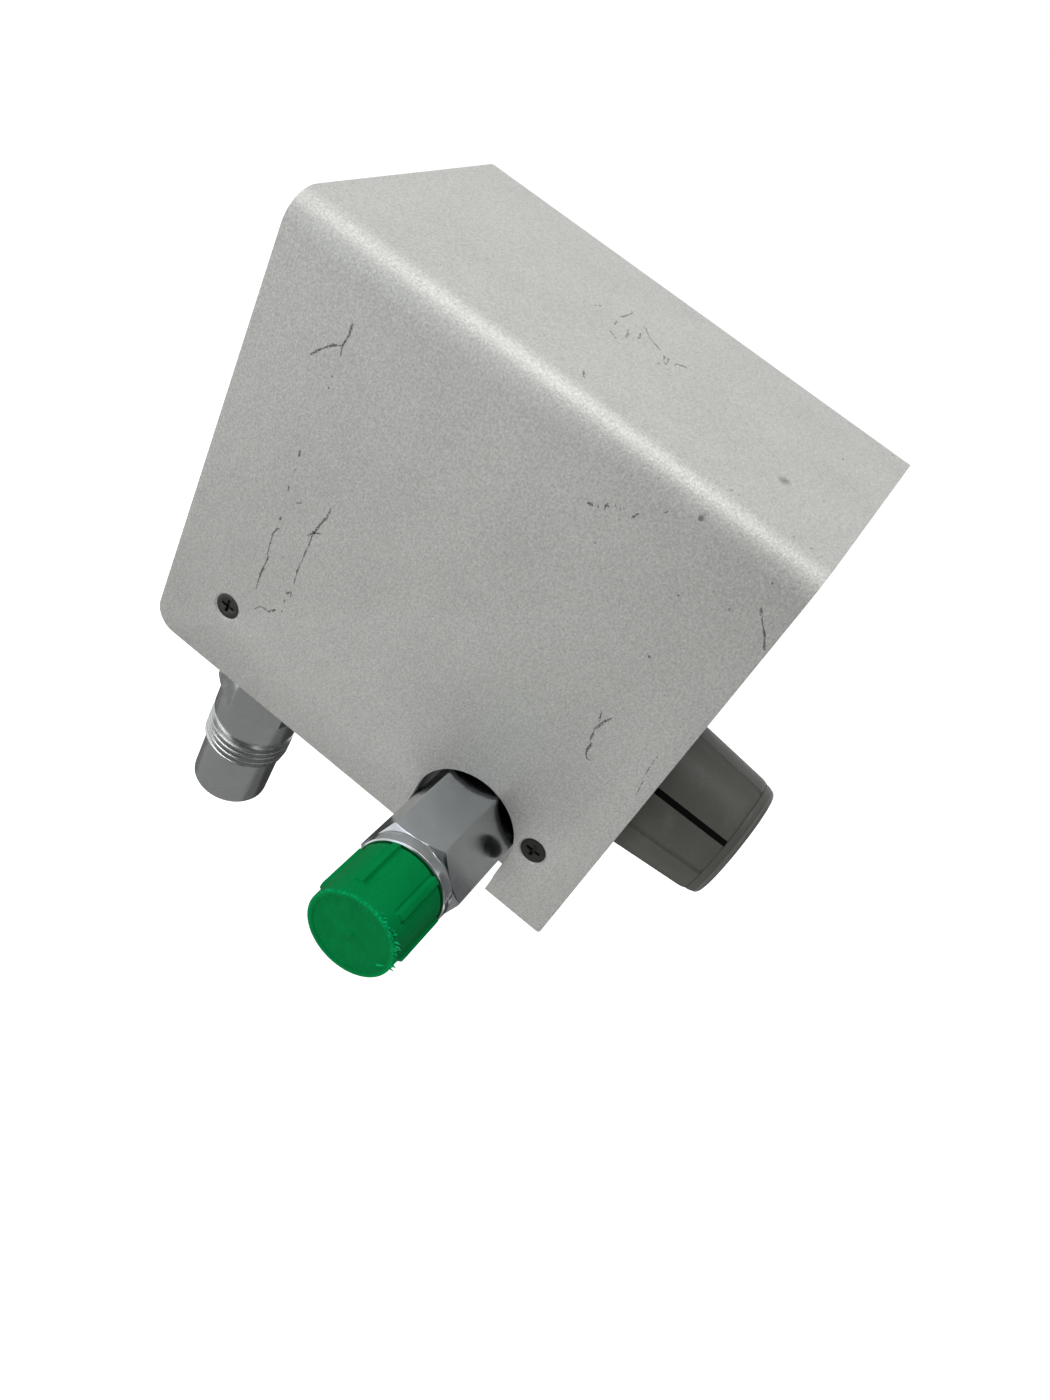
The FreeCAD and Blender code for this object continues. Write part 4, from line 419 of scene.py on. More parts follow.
def chrome(name="chrome_plate", axis=(1.0, 0.0, 0.0), colour=(0.52, 0.54, 0.56), haze=(0.13, 0.24)):
    """Plated brass: bright, with lathe rings and a light haze."""
    material, tree, surface, place = new_material(name, Metallic=1.0)
    marks = effect(tree, "turning", place, Axis=axis, Spacing=0.16)
    shade = effect(tree, "drift", place, Colour=rgba(colour), Size=5.0, Amount=0.05, Fleck=0.03)
    tree.links.new(shade["Colour"], surface.inputs["Base Color"])
    tree.links.new(remap(tree, marks["Haze"], 0.0, 1.0, *haze), surface.inputs["Roughness"])
    raise_surface(tree, surface, marks["Height"], 0.000004)
    return material


def bare_metal(name, colour, roughness, axis, spacing, relief=0.000006, dirt=0.15):
    """Machined, rolled or drawn metal with tool lines and a little staining."""
    material, tree, surface, place = new_material(name, Metallic=1.0)
    marks = effect(tree, "turning", place, Axis=axis, Spacing=spacing)
    shade = effect(tree, "drift", place, Colour=rgba(colour), Size=8.0, Amount=0.05, Fleck=0.05)
    soiled = effect(tree, "soiling", place, Size=6.0)
    stained = blend_colour(tree, multiply(tree, soiled["Rubs"], dirt), shade["Colour"],
                           rgba([c * 0.45 for c in colour]))
    tree.links.new(stained, surface.inputs["Base Color"])
    rough = remap(tree, marks["Haze"], 0.0, 1.0, roughness - 0.06, roughness + 0.1)
    tree.links.new(rough, surface.inputs["Roughness"])
    raise_surface(tree, surface, marks["Height"], relief)
    return material


def moulded(name, colour, roughness, grain_size, grain_depth, rubs=0.12, worn=None, level=0.5,
            parts=False):
    """Moulded plastic or rubber with a fine grain and rubbed patches."""
    material, tree, surface, place = new_material(name, IOR=1.48, Specular_IOR_Level=level)
    grain = effect(tree, "grain", place, Size=grain_size)
    shade = effect(tree, "drift", place, Colour=rgba(colour), Size=6.0, Amount=0.07, Fleck=0.08)
    soiled = effect(tree, "soiling", place, Size=3.5)
    rubbed = blend_colour(tree, multiply(tree, soiled["Rubs"], rubs), shade["Colour"],
                          rgba(worn or [min(1.0, c * 1.6 + 0.02) for c in colour]))
    tree.links.new(rubbed, surface.inputs["Base Color"])
    tree.links.new(remap(tree, grain["Mask"], 0.0, 1.0, roughness - 0.05, roughness + 0.09),
                   surface.inputs["Roughness"])
    raise_surface(tree, surface, grain["Height"], grain_depth)
    return (material, tree, surface, place) if parts else material


def mark_material(name, colour, low, high, size):
    """Broken dark mark: its gaps come from noise in its alpha."""
    material, tree, surface, place = new_material(name, Roughness=0.6)
    tear = noise(tree, place, size, 4.0, 0.7)
    shade = effect(tree, "drift", place, Colour=rgba(colour), Size=1.2, Amount=0.25, Fleck=0.2)
    tree.links.new(shade["Colour"], surface.inputs["Base Color"])
    tree.links.new(remap(tree, tear, low, high, 0.0, 0.92), surface.inputs["Alpha"])
    return material


def smudge_material(name, centre, reach, colour):
    """Grey smudge that fades out from its centre; centre and reach in millimetres."""
    material, tree, surface, place = new_material(name, Roughness=0.55)
    offset = vector_node(tree, "SUBTRACT", {0: place, 1: centre})
    away = vector_node(tree, "LENGTH", {0: vector_node(tree, "DIVIDE", {0: offset, 1: reach})})
    uneven = add(tree, away, multiply(tree, noise(tree, place, 1.0, 4.0, 0.65), 0.9))
    tree.links.new(remap(tree, uneven, 0.55, 1.35, 0.55, 0.0), surface.inputs["Alpha"])
    shade = effect(tree, "drift", place, Colour=rgba(colour), Size=1.0, Amount=0.1, Fleck=0.1)
    tree.links.new(shade["Colour"], surface.inputs["Base Color"])
    return material


def cap_green():
    cap = bpy.context.scene.blender_cap
    material, tree, surface, place = moulded(
        "cap_green", tuple(cap.colour), 0.46, 0.9, 0.000018, 0.25, (0.0, 0.27, 0.09), 0.03, parts=True)
    rim = effect(tree, "rim_wear", place, Centre=(CAP_END, *CAP_AXIS), Axis=(-1.0, 0.0, 0.0),
                                    Radius=9.0)
    shade = surface.inputs["Base Color"].links[0].from_socket
    # Painted shade: the cap's end face is darkened towards this deeper green
    painted_disc_shade = blend_colour(tree, rim["Painted end shade"], shade, (0.0, 0.13, 0.032, 1))
    # Lighter green: rubbed wear along the rim, and painted highlights in spots on the end face
    worn = blend_colour(tree, rim["Mask"], painted_disc_shade, (0.0, 0.34, 0.13, 1))
    tree.links.new(worn, surface.inputs["Base Color"])
    return material


def knob_grey():
    knob = bpy.context.scene.blender_knob
    return moulded("knob_grey", tuple(knob.colour), 0.46, 0.45, 0.00002, 0.3, (0.15, 0.155, 0.14), 0.3)


def knob_cap_grey():
    knob = bpy.context.scene.blender_knob
    material, tree, surface, place = moulded(
        "knob_cap_grey", tuple(knob.cap_colour), 0.44, 0.45, 0.000015, 0.3, (0.17, 0.172, 0.16), 0.3,
        parts=True)
    along = add_node(tree, "ShaderNodeSeparateXYZ", {0: place}).outputs[1]
    skirt = remap(tree, along, -123.75, -123.6, 0.0, 1.0)
    shade = surface.inputs["Base Color"].links[0].from_socket
    tree.links.new(blend_colour(tree, skirt, shade, rgba(knob.colour)), surface.inputs["Base Color"])
    return material


# Colour, roughness, axis of the tool lines, their spacing, relief and dirt
METALS = {
    "sheet_metal": ((0.60, 0.60, 0.59), 0.38, (0.0, 0.25, 1.0), 0.35, 0.00001),
    "block_metal": ((0.66, 0.66, 0.66), 0.34, (0.6, 0.8, 0.1), 0.5, 0.000008),
    "screw_steel": ((0.085, 0.085, 0.08), 0.42, (0.7, 0.7, 0.0), 0.2, 0.00001, 0.5),
    "zinc_steel": ((0.52, 0.525, 0.54), 0.34, (0.3, 0.9, 0.2), 0.3),
    "valve_steel": ((0.50, 0.50, 0.49), 0.26, (0.0, 1.0, 0.0), 0.12),
    "spring_steel": ((0.44, 0.44, 0.45), 0.3, (0.4, 0.5, 0.8), 0.4),
    "brass": ((0.67, 0.50, 0.24), 0.3, (0.0, 1.0, 0.2), 0.16),
}
# Colour, roughness, size and depth of the grain, rubs, worn colour and shine
PLASTICS = {
    "pointer_black": ((0.003, 0.003, 0.003), 0.6, 0.4, 0.00002, 0.12, None, 0.06),
    "poppet_plastic": ((0.56, 0.54, 0.47), 0.42, 0.4, 0.00001),
    "sinter_bronze": ((0.35, 0.22, 0.11), 0.6, 0.22, 0.00009),
    "black_rubber": ((0.016, 0.016, 0.016), 0.62, 0.35, 0.00001),
}
FINISHES = {
    "cover_paint": powder_coat,
    "plate_paint": lambda: powder_coat("plate_paint", (0.50, 0.50, 0.485), 0.6),
    "chrome_plate": chrome,
    "chrome_inlet": lambda: chrome("chrome_inlet", (0.0, 0.0, 1.0), (0.53, 0.545, 0.54), (0.2, 0.3)),
    "knob_grey": knob_grey,
    "knob_cap_grey": knob_cap_grey,
    "cap_green": cap_green,
}
MADE = {}


def finish(slot):
    """The material of one of the record's slots, made once."""
    if slot not in MADE:
        if slot in METALS:
            MADE[slot] = bare_metal(slot, *METALS[slot])
        elif slot in PLASTICS:
            MADE[slot] = moulded(slot, *PLASTICS[slot])
        else:
            MADE[slot] = FINISHES[slot]()
    return MADE[slot]


# Mesh helpers

def place_object(name, data):
    """Put new data in the scene as an object."""
    thing = bpy.data.objects.new(name, data)
    bpy.context.scene.collection.objects.link(thing)
    return thing


def frame_body(node):
    return frame["nodes"][node]["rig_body"]


def nearest(angles, centres):
    """How far each angle is from the nearest of the centres."""
    turns = [np.abs((angles - centre + math.pi) % (2 * math.pi) - math.pi) for centre in centres]
    return np.min(turns, axis=0)


def smooth(share):
    return share * share * (3 - 2 * share)


def new_piece(name, points, faces, slot, body, material=None):
    """Make a mesh piece from points in metres, weld it, and let it ride on its body."""
    mesh = bpy.data.meshes.new(name)
    mesh.from_pydata([tuple(p) for p in points], [], faces)
    skin = bmesh.new()
    skin.from_mesh(mesh)
    bmesh.ops.remove_doubles(skin, verts=skin.verts, dist=2e-6)
    bmesh.ops.dissolve_degenerate(skin, edges=skin.edges, dist=1e-6)
    bmesh.ops.recalc_face_normals(skin, faces=skin.faces)
    skin.to_mesh(mesh)
    skin.free()
    mesh.shade_smooth()
    mesh.set_sharp_from_angle(angle=SKIN_SHARP)
    mesh.materials.append(material or finish(slot))
    piece = place_object(name, mesh)
    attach(piece, body)
    return piece


def eased(points):
    """Round each corner of a profile; a point is (station, radius, rounding) in millimetres."""
    result = []
    last = len(points) - 1
    for i, (station, radius, ease) in enumerate(points):
        here = Vector((station, radius))
        if ease <= 0 or i in (0, last):
            result.append((station, radius))
            continue
        back = Vector(points[i - 1][:2]) - here
        on = Vector(points[i + 1][:2]) - here
        reach = min(ease, back.length * 0.45, on.length * 0.45)
        start, end = here + back.normalized() * reach, here + on.normalized() * reach
        for k in range(EASE_STEPS + 1):
            t = k / EASE_STEPS
            spot = start * (1 - t) ** 2 + here * 2 * t * (1 - t) + end * t ** 2
            result.append((spot.x, spot.y))
    return result


def turn_angles(count, marks=()):
    """Even angles round a turn with extra ones at marks; the last repeats the first, a turn on."""
    full = 2 * math.pi
    marks = sorted({round(m % full, 6) for m in marks})
    kept = list(marks)
    gap = full / count
    for k in range(count):
        angle = k * gap
        if all(min(abs(angle - m), full - abs(angle - m)) > gap * 0.4 for m in marks):
            kept.append(angle)
    kept.sort()
    return np.array(kept + [kept[0] + full])


def grid_faces(rows, columns, start=0, close_rows=False, close_columns=False):
    """Faces between rows of points that follow one another from the point at start."""
    faces = []
    for i in range(rows if close_rows else rows - 1):
        here, after = start + i * columns, start + (i + 1) % rows * columns
        for j in range(columns if close_columns else columns - 1):
            beside = (j + 1) % columns
            faces.append((here + j, here + beside, after + beside, after + j))
    return faces


def skin_rows(rows, angles, origin, axis, toward, side, closed):
    """Points and faces of a skin: each row gives station and radius at every angle, in millimetres."""
    origin, cos, sin = np.array(origin), np.cos(angles)[:, None], np.sin(angles)[:, None]
    spokes = cos * np.array(toward) + sin * np.array(side)
    points = []
    for station, radius in rows:
        station = np.broadcast_to(station, angles.shape)[:, None]
        radius = np.broadcast_to(radius, angles.shape)[:, None]
        points.append(origin + (station * np.array(axis) + radius * spokes) * MM)
    return np.concatenate(points), grid_faces(len(rows), len(angles), close_rows=closed)


def hexagon(angles, across, corner):
    """Distance from the axis to a hexagon's sides, its corners slightly rounded, in millimetres."""
    flat, sector = across / 2, math.radians(60)
    off = (angles - corner) % sector
    off = np.minimum(off, sector - off)
    centre = (flat - BAR_ROUNDING) / math.cos(sector / 2)
    straight = flat / np.cos(sector / 2 - off)
    inside = np.maximum(BAR_ROUNDING ** 2 - (centre * np.sin(off)) ** 2, 0)
    arc = centre * np.cos(off) + np.sqrt(inside)
    tangent = math.atan2(BAR_ROUNDING * 0.5, centre + BAR_ROUNDING * math.cos(sector / 2))
    return np.where(off < tangent, arc, straight)


def hexagon_marks(corner, across):
    """Angles that a hexagon's rounded corners need."""
    centre = (across / 2 - BAR_ROUNDING) / math.cos(math.radians(30))
    tangent = math.atan2(BAR_ROUNDING * 0.5, centre + BAR_ROUNDING * math.cos(math.radians(30)))
    return [corner + math.radians(60 * k) + tangent * f for k in range(6) for f in (-1, -0.5, 0, 0.5, 1)]


def hexagon_rows(angles, start, end, across, corner, chamfer, face_radius):
    """Rows of a hexagon with a turned chamfer at its end; the crease follows the cone."""
    wall = hexagon(angles, across, corner)
    tall = across / math.sqrt(3) + 1
    slope = (tall - face_radius) / chamfer
    crease = end - chamfer + (tall - wall) / slope
    rows = [(start, wall - 0.3), (start + 0.12, wall - 0.06), (start + 0.3, wall)]
    for share in (0.35, 0.7):
        rows.append((start + 0.3 + (crease - start - 0.5) * share, wall))
    rows += [(crease - 0.16, wall), (crease - 0.03, wall)]
    for share in (0.12, 0.5, 1.0):
        station = crease + (end - crease) * share
        station = np.minimum(station, end)
        rows.append((station, tall - (station - end + chamfer) * slope))
    return rows


def thread_rows(angles, start, end, outside, pitch, depth):
    """Rows that follow a helical thread, so that its crest is a clean line."""
    rows = []
    turns = angles / (2 * math.pi)
    root = outside - depth
    total = int(math.ceil((end - start) / pitch + 1) * THREAD_STEPS) + 1
    for k in range(total):
        station = np.clip(start + pitch * (k / THREAD_STEPS - 1 + turns), start, end)
        phase = ((station - start) / pitch - turns) % 1.0
        rise = np.clip((0.5 - np.abs(phase - 0.5) - 0.10) / 0.30, 0, 1)
        radius = root + depth * smooth(rise)
        radius = np.minimum(radius, root + (station - start) * THREAD_RUNOUT)
        rows.append((station, np.minimum(radius, root + (end - station) * THREAD_RUNOUT)))
    return rows


def bevelled_copy(node, slot, width, limit=28, segments=2):
    """A copy of a CAD node with its edges broken, standing for the node."""
    source = frame["nodes"][node]
    mesh = source.data.copy()
    mesh.name = node + "_edged"
    if mesh.has_custom_normals:
        mesh.attributes.remove(mesh.attributes["custom_normal"])
    skin = bmesh.new()
    skin.from_mesh(mesh)
    bmesh.ops.remove_doubles(skin, verts=skin.verts, dist=1e-6)
    bmesh.ops.dissolve_limit(skin, angle_limit=math.radians(0.4), verts=skin.verts, edges=skin.edges)
    skin.to_mesh(mesh)
    skin.free()
    piece = place_object(mesh.name, mesh)
    modifier = piece.modifiers.new("edge", "BEVEL")
    modifier.width = width
    modifier.segments = segments
    modifier.limit_method = "ANGLE"
    modifier.angle_limit = math.radians(limit)
    modifier.harden_normals = False
    modifier.miter_outer = "MITER_ARC"
    modifier.use_clamp_overlap = True
    shaded = bpy.data.meshes.new_from_object(piece.evaluated_get(bpy.context.evaluated_depsgraph_get()))
    piece.modifiers.clear()
    piece.data = shaded
    shaded.name = mesh.name
    shaded.shade_smooth()
    shaded.set_sharp_from_angle(angle=math.radians(40))
    shaded.materials.clear()
    shaded.materials.append(finish(slot))
    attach(piece, source["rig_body"])
    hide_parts(node)
    return piece


# Pieces

def make_cover_skin():
    paint = bpy.context.scene.blender_paint
    bevelled_copy("cover", "cover_paint", paint.edge, segments=3)
    bevelled_copy("dial_plate", "plate_paint", 0.0002)
    bevelled_copy("cover_screws", "screw_steel", 0.00012, limit=34)


def fitting_angles(corner):
    columns = bpy.context.scene.blender_threads.columns
    return turn_angles(columns, hexagon_marks(corner, BAR_ACROSS))


def make_outlet_skin():
    """Outlet: shank, hexagon, collar, thread and stepped bore."""
    pitch = bpy.context.scene.blender_threads.outlet_pitch / MM
    corner = math.radians(48.4)
    angles = fitting_angles(corner)
    rows = eased([(-9, 5.3, 0), (-9, 6.5, 0.2), (-7.42, 6.5, 0.05), (-7.42, 5.7, 0), (-6.58, 5.7, 0),
                  (-6.58, 6.5, 0.05), (0, 6.5, 0)])
    rows += hexagon_rows(angles, 0.0, 28.6, BAR_ACROSS, corner, BAR_CHAMFER, BAR_FACE)
    rows += eased([(28.6, 9.42, 0), (28.62, 9.15, 0.04), (28.75, 9.6, 0.05), (31.15, 9.6, 0.05),
                   (31.4, 9.35, 0.03), (31.4, 6.5, 0.3), (31.9, 6.275, 0)])
    rows += thread_rows(angles, 31.9, 42.9, 7.14, pitch, 0.865)
    rows += eased([(42.9, 6.275, 0), (43.7, 6.1, 0.2), (43.7, 5.0, 0.1), (43.3, 4.6, 0.1), (18, 4.6, 0),
                   (18, 3.5, 0.1), (14, 3.5, 0.1), (14, 5.3, 0)])
    points, faces = skin_rows(rows, angles, OUTLET_AXIS, -X, Y, Z, closed=True)
    piece = new_piece("outlet_body", points, faces, "chrome_plate", frame_body("outlet_fitting"))
    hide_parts("outlet_fitting")


INLETS = {
    "air": {"across": -24.0, "thread": 9.525, "nose": 8.55, "depth": 0.974},
    "oxygen": {"across": 24.0, "thread": 7.14, "nose": 6.5, "depth": 0.865},
}


def make_inlet_skins():
    """Both inlets: hexagon, round body, undercut, thread and plain nose with its bore."""
    threads = bpy.context.scene.blender_threads
    for gas, sizes in INLETS.items():
        corner = math.radians(-6.0)
        angles = fitting_angles(corner)
        pitch = (threads.air_pitch if gas == "air" else threads.outlet_pitch) / MM
        thread, nose, root = sizes["thread"], sizes["nose"], sizes["thread"] - sizes["depth"]
        rows = eased([(-12, 5.4, 0), (-12, 7.5, 0.2), (-10.42, 7.5, 0.05), (-10.42, 6.7, 0), (-9.58, 6.7, 0),
                      (-9.58, 7.5, 0.05), (0, 7.5, 0)])
        rows += hexagon_rows(angles, 0.0, 9.0, BAR_ACROSS, corner, BAR_CHAMFER, BAR_FACE)
        rows += eased([(9.0, 9.475, 0), (15.5, 9.475, 0.35), (15.5, root, 0.3), (16.8, root, 0)])
        rows += thread_rows(angles, 16.8, 24.0, thread, pitch, sizes["depth"])
        rows += eased([(24.0, root, 0), (24.4, root, 0.1), (24.4, nose, 0.25 if nose > root else 0),
                       (37.7, nose, 1.1), (37.7, 5.4, 0.15), (37.3, 5.0, 0.15), (20.0, 5.0, 0),
                       (20.0, 4.54, 0), (17.5, 4.54, 0), (17.5, 3.6, 0.1), (6.0, 3.6, 0.1), (6.0, 5.4, 0)])
        origin = (sizes["across"] * MM, -0.02455, -0.04825)
        points, faces = skin_rows(rows, angles, origin, -Z, X, Y, closed=True)
        piece = new_piece(gas + "_inlet_body", points, faces, "chrome_plate",
                          frame_body(gas + "_inlet_fitting"), finish("chrome_inlet"))
        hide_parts(gas + "_inlet_fitting")


def make_cap_skin():
    """Outlet cap: tapered shell, six ribs that stop short of the end, raised rim with torn flash."""
    half = bpy.context.scene.blender_cap.rib_width / MM / 2
    start = math.radians(4.0)
    ribs = [start + math.radians(60 * k) for k in range(6)]
    steps = (0, 0.35, 0.55, 0.68, 0.8, 0.95, 1.1, 1.25, 1.45, 1.7)
    marks = [rib + sign * (half - 0.85 + off) / RIB_RADIUS
             for rib in ribs for off in steps for sign in (-1, 1)]
    angles = turn_angles(120, marks)
    near = nearest(angles, ribs) * RIB_RADIUS
    lift = smooth(np.clip((half + 0.14 - near) / 0.34, 0, 1))
    valley = np.exp(-((near - half - 0.32) / 0.2) ** 2) * 0.2
    rows = eased([(13.2, 0, 0), (13.2, 7.5, 0.4), (0, 7.5, 0)])
    rows += [(0.0, 7.9), (0.0, 8.85)]
    for s, share in ((0.08, 1.0), (0.3, 1.0), (2, 1), (5, 1), (8, 1), (10.6, 1), (11.1, 0.985), (11.35, 0.9),
                     (11.5, 0.66), (11.62, 0.3), (11.8, 0.08), (12.1, 0.0), (13.4, 0.0)):
        inset = 0.1 if s < 0.1 else 0.0
        base = 9.1 - 0.1 * s / 14.6 - inset
        rows.append((s, base + (9.7 - inset - base) * lift * share - valley * share))
    rows += eased([(13.6, 9.02, 0), (14.85, 9.0, 0.3), (15.08, 8.75, 0.1), (15.08, 7.9, 0.12),
                   (14.82, 7.65, 0.12), (14.82, 0.9, 0.1), (15.05, 0.5, 0.1), (15.08, 0.0, 0)])
    mouth = (CAP_MOUTH * MM, OUTLET_AXIS[1], OUTLET_AXIS[2])
    points, faces = skin_rows(rows, angles, mouth, -X, Y, Z, closed=False)
    piece = new_piece("cap_moulding", points, faces, "cap_green", frame_body("outlet_cap"))
    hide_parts("outlet_cap")


def make_cap_flash():
    """Torn moulding flash that stands off the cap's rim, and one curl of it on the end."""
    dice = np.random.default_rng(11)
    centre = np.array(CAP_AXIS)
    points, faces = [], []

    def strand(path, width):
        start = len(points)
        for k, (station, y, z) in enumerate(path):
            half = width * (1 - 0.8 * k / (len(path) - 1))
            for a, b in ((-half, -half * 0.6), (half, -half * 0.6), (0, half * 0.8)):
                reach = CAP_MOUTH - min(station + b, 15.09)
                points.append((reach * MM, (y + a * 0.7) * MM, (z + a * 0.7) * MM))
        faces.extend(grid_faces(len(path), 3, start, close_columns=True))
        faces.append((start, start + 1, start + 2))
        faces.append(tuple(start + 3 * (len(path) - 1) + i for i in range(3)))

    for turn in np.concatenate((np.arange(108, 150, 2.2), np.arange(150, 184, 3.4))):
        angle = math.radians(turn + dice.uniform(-1.5, 1.5))
        reach = dice.uniform(0.3, 1.1)
        lean = dice.uniform(-0.6, 0.6)
        station = 14.7 + dice.uniform(-0.5, 0.25)
        path = []
        for share in (0, 0.35, 0.7, 1):
            radius = 8.9 + reach * share
            bent = angle + lean * share * 0.06
            spot = centre + radius * np.array((math.cos(bent), math.sin(bent)))
            path.append((station - 0.25 * share * lean, spot[0], spot[1]))
        strand(path, dice.uniform(0.2, 0.42))
    for first, last, inner, outer in ((112, 150, 8.85, 9.2), (150, 178, 8.9, 9.15), (-166, -188, 6.9, 8.9)):
        path = []
        for share in np.linspace(0, 1, 14):
            angle = math.radians(first + (last - first) * share)
            radius = inner + (outer - inner) * share + dice.normal(0, 0.09)
            spot = centre + radius * np.array((math.cos(angle), math.sin(angle)))
            path.append((14.86 if first > 0 else 15.03, *spot))
        strand(path, 0.3)
    torn = moulded("cap_green_torn", (0.0, 0.3, 0.1), 0.45, 0.5, 0.00001, 0.4, (0.0, 0.42, 0.2), 0.1)
    new_piece("cap_flash", points, faces, "cap_green", frame_body("outlet_cap"), torn)


def knob_radius(station):
    return KNOB_FOOT - KNOB_TAPER * station / KNOB_LENGTH


def make_knob_skins():
    """Knob: tapered body with four grip grooves and a slot, the inlaid pointer and the end cap."""
    grooves = [POINTER + FIRST_GROOVE + math.radians(90 * k) for k in range(4)]
    steps = (0, 0.25, 0.5, 0.7, 0.82, 0.92, 1.05, 1.25)
    marks = [g + sign * off / GROOVE_REACH for g in grooves for off in steps for sign in (-1, 1)]
    marks += [POINTER + sign * off / GROOVE_REACH for off in (0.655, 0.70, 0.78) for sign in (-1, 1)]
    angles = turn_angles(150, marks)
    away = nearest(angles, grooves) * GROOVE_REACH
    cut = np.sqrt(np.maximum(GROOVE_RADIUS ** 2 - away ** 2, 0)) - GROOVE_SET_BACK
    cut = np.where(cut > 0.06, cut, 0.06 * np.exp((cut - 0.06) * 12))
    cut = np.where(away > 1.3, 0, cut)
    slot = (nearest(angles, [POINTER]) * GROOVE_REACH < 0.68) * 0.7
    rows = eased([(4.2, 4.5, 0), (4.2, 10, 0.2), (0, 10, 0.2), (0, 15.2, 0)])
    for s, inset in ((0.0, 0.35), (0.06, 0.14), (0.2, 0.04), (0.45, 0.0), (3, 0), (6, 0), (9, 0), (12, 0),
                     (15, 0), (16.4, 0.0), (17.0, 0.05), (17.5, 0.14), (17.74, 0.22), (17.8, 0.32)):
        rows.append((s, knob_radius(s) - inset - cut - slot * (1.0 if s >= 0.2 else 0.0)))
    rows += eased([(17.8, 13.3, 0), (17.8, 7.5, 0.15), (12.8, 7.5, 0.15), (12.8, 4.5, 0)])
    points, faces = skin_rows(rows, angles, KNOB_AXIS, -Y, X, Z, closed=True)
    body = new_piece("knob_shell", points, faces, "knob_grey", frame_body("knob_body"))
    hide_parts("knob_body")

    rows = eased([(-1.2, 0, 0), (-1.2, 7.4, 0.1), (0, 7.4, 0.05), (0, 13.7, 0.1), (0.08, 13.7, 0.02),
                  (0.08, 13.88, 0.04), (0.7, 13.82, 0), (1.3, 13.69, 0), (1.48, 13.62, 0.02),
                  (1.56, 13.5, 0.03), (1.66, 13.52, 0)])
    for k in range(11):
        bend = math.radians(9 * k)
        rows.append((1.7 + 1.12 * math.sin(bend), 12.0 + 1.5 * math.cos(bend)))
    rows += [(2.86, 9.0), (2.93, 5.0), (2.96, 2.0), (2.97, 0.0)]
    end = (0, KNOB_AXIS[1] - KNOB_LENGTH * MM, KNOB_AXIS[2])
    points, faces = skin_rows(rows, turn_angles(144), end, -Y, X, Z, closed=False)
    cap = new_piece("knob_end", points, faces, "knob_cap_grey", frame_body("knob_cap"))
    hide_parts("knob_cap")

    out = np.array((math.cos(POINTER), 0, math.sin(POINTER)))
    across = np.array((-math.sin(POINTER), 0, math.cos(POINTER)))
    section = [(-0.64, -0.66), (-0.64, -0.1), (-0.58, -0.03), (-0.3, 0.0), (0.3, 0.0), (0.58, -0.03),
               (0.64, -0.1), (0.64, -0.66)]
    rings = []
    for s, drop in ((0.45, 0.1), (0.6, 0.02), (4, 0.0), (9, 0.0), (14, 0.0), (17.6, 0.02), (17.75, 0.1)):
        for side, rise in section:
            spot = out * (knob_radius(s) + max(rise - drop, -0.66)) + across * side + np.array((0, -s, 0))
            rings.append(np.array(KNOB_AXIS) + spot * MM)
    count = len(section)
    faces = grid_faces(7, count, close_columns=True)
    faces += [tuple(range(count)), tuple(range(6 * count, 7 * count))]
    pointer = new_piece("knob_line", rings, faces, "pointer_black", frame_body("knob_pointer"))
    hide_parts("knob_pointer")


def plate_patch(corners, y):
    """Points on the dial plate's face from positions in millimetres round the knob."""
    return [(KNOB_AXIS[0] + x * MM, y, KNOB_AXIS[2] + z * MM) for x, z in corners]


def make_scale_print():
    """Numbers and ticks printed round the knob, from the lowest to the highest share of oxygen."""
    scale = bpy.context.scene.blender_scale
    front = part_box("dial_plate")[0].y - 0.000012
    points, faces = [], []
    span = scale.highest - scale.lowest

    def turn(share):
        return math.radians(225 - 270 * (share - scale.lowest) / span)

    def bar(angle, inner, outer, width):
        out = Vector((math.cos(angle), math.sin(angle)))
        side = Vector((-math.sin(angle), math.cos(angle))) * width / 2
        corners = [out * inner - side, out * outer - side, out * outer + side, out * inner + side]
        faces.append(tuple(range(len(points), len(points) + 4)))
        points.extend(plate_patch(corners, front))

    numbers = [scale.lowest] + list(range(30, scale.highest + 1, 10))
    for share in numbers:
        bar(turn(share), 17.0, 19.4, 0.5)
    for share in range(25, scale.highest, 10):
        bar(turn(share), 17.0, 18.6, 0.32)
    for share in numbers:
        text = bpy.data.curves.new("scale_number", "FONT")
        text.body = str(share)
        text.size = scale.number_height / MM * 1.35
        text.align_x = "CENTER"
        text.align_y = "CENTER"
        text.resolution_u = 4
        holder = bpy.data.objects.new("scale_number", text)
        mesh = bpy.data.meshes.new_from_object(holder)
        angle = turn(share)
        middle = (math.cos(angle) * 22.6, math.sin(angle) * 21.6)
        start = len(points)
        points.extend(plate_patch([(middle[0] + v.co.x, middle[1] + v.co.y) for v in mesh.vertices], front))
        faces.extend(tuple(start + i for i in p.vertices) for p in mesh.polygons)
        bpy.data.objects.remove(holder)
        bpy.data.curves.remove(text)
        bpy.data.meshes.remove(mesh)
    ink = moulded("scale_ink", (0.02, 0.02, 0.022), 0.5, 0.3, 0.000004)
    new_piece("scale_print", points, faces, "plate_paint", frame_body("dial_plate"), ink)


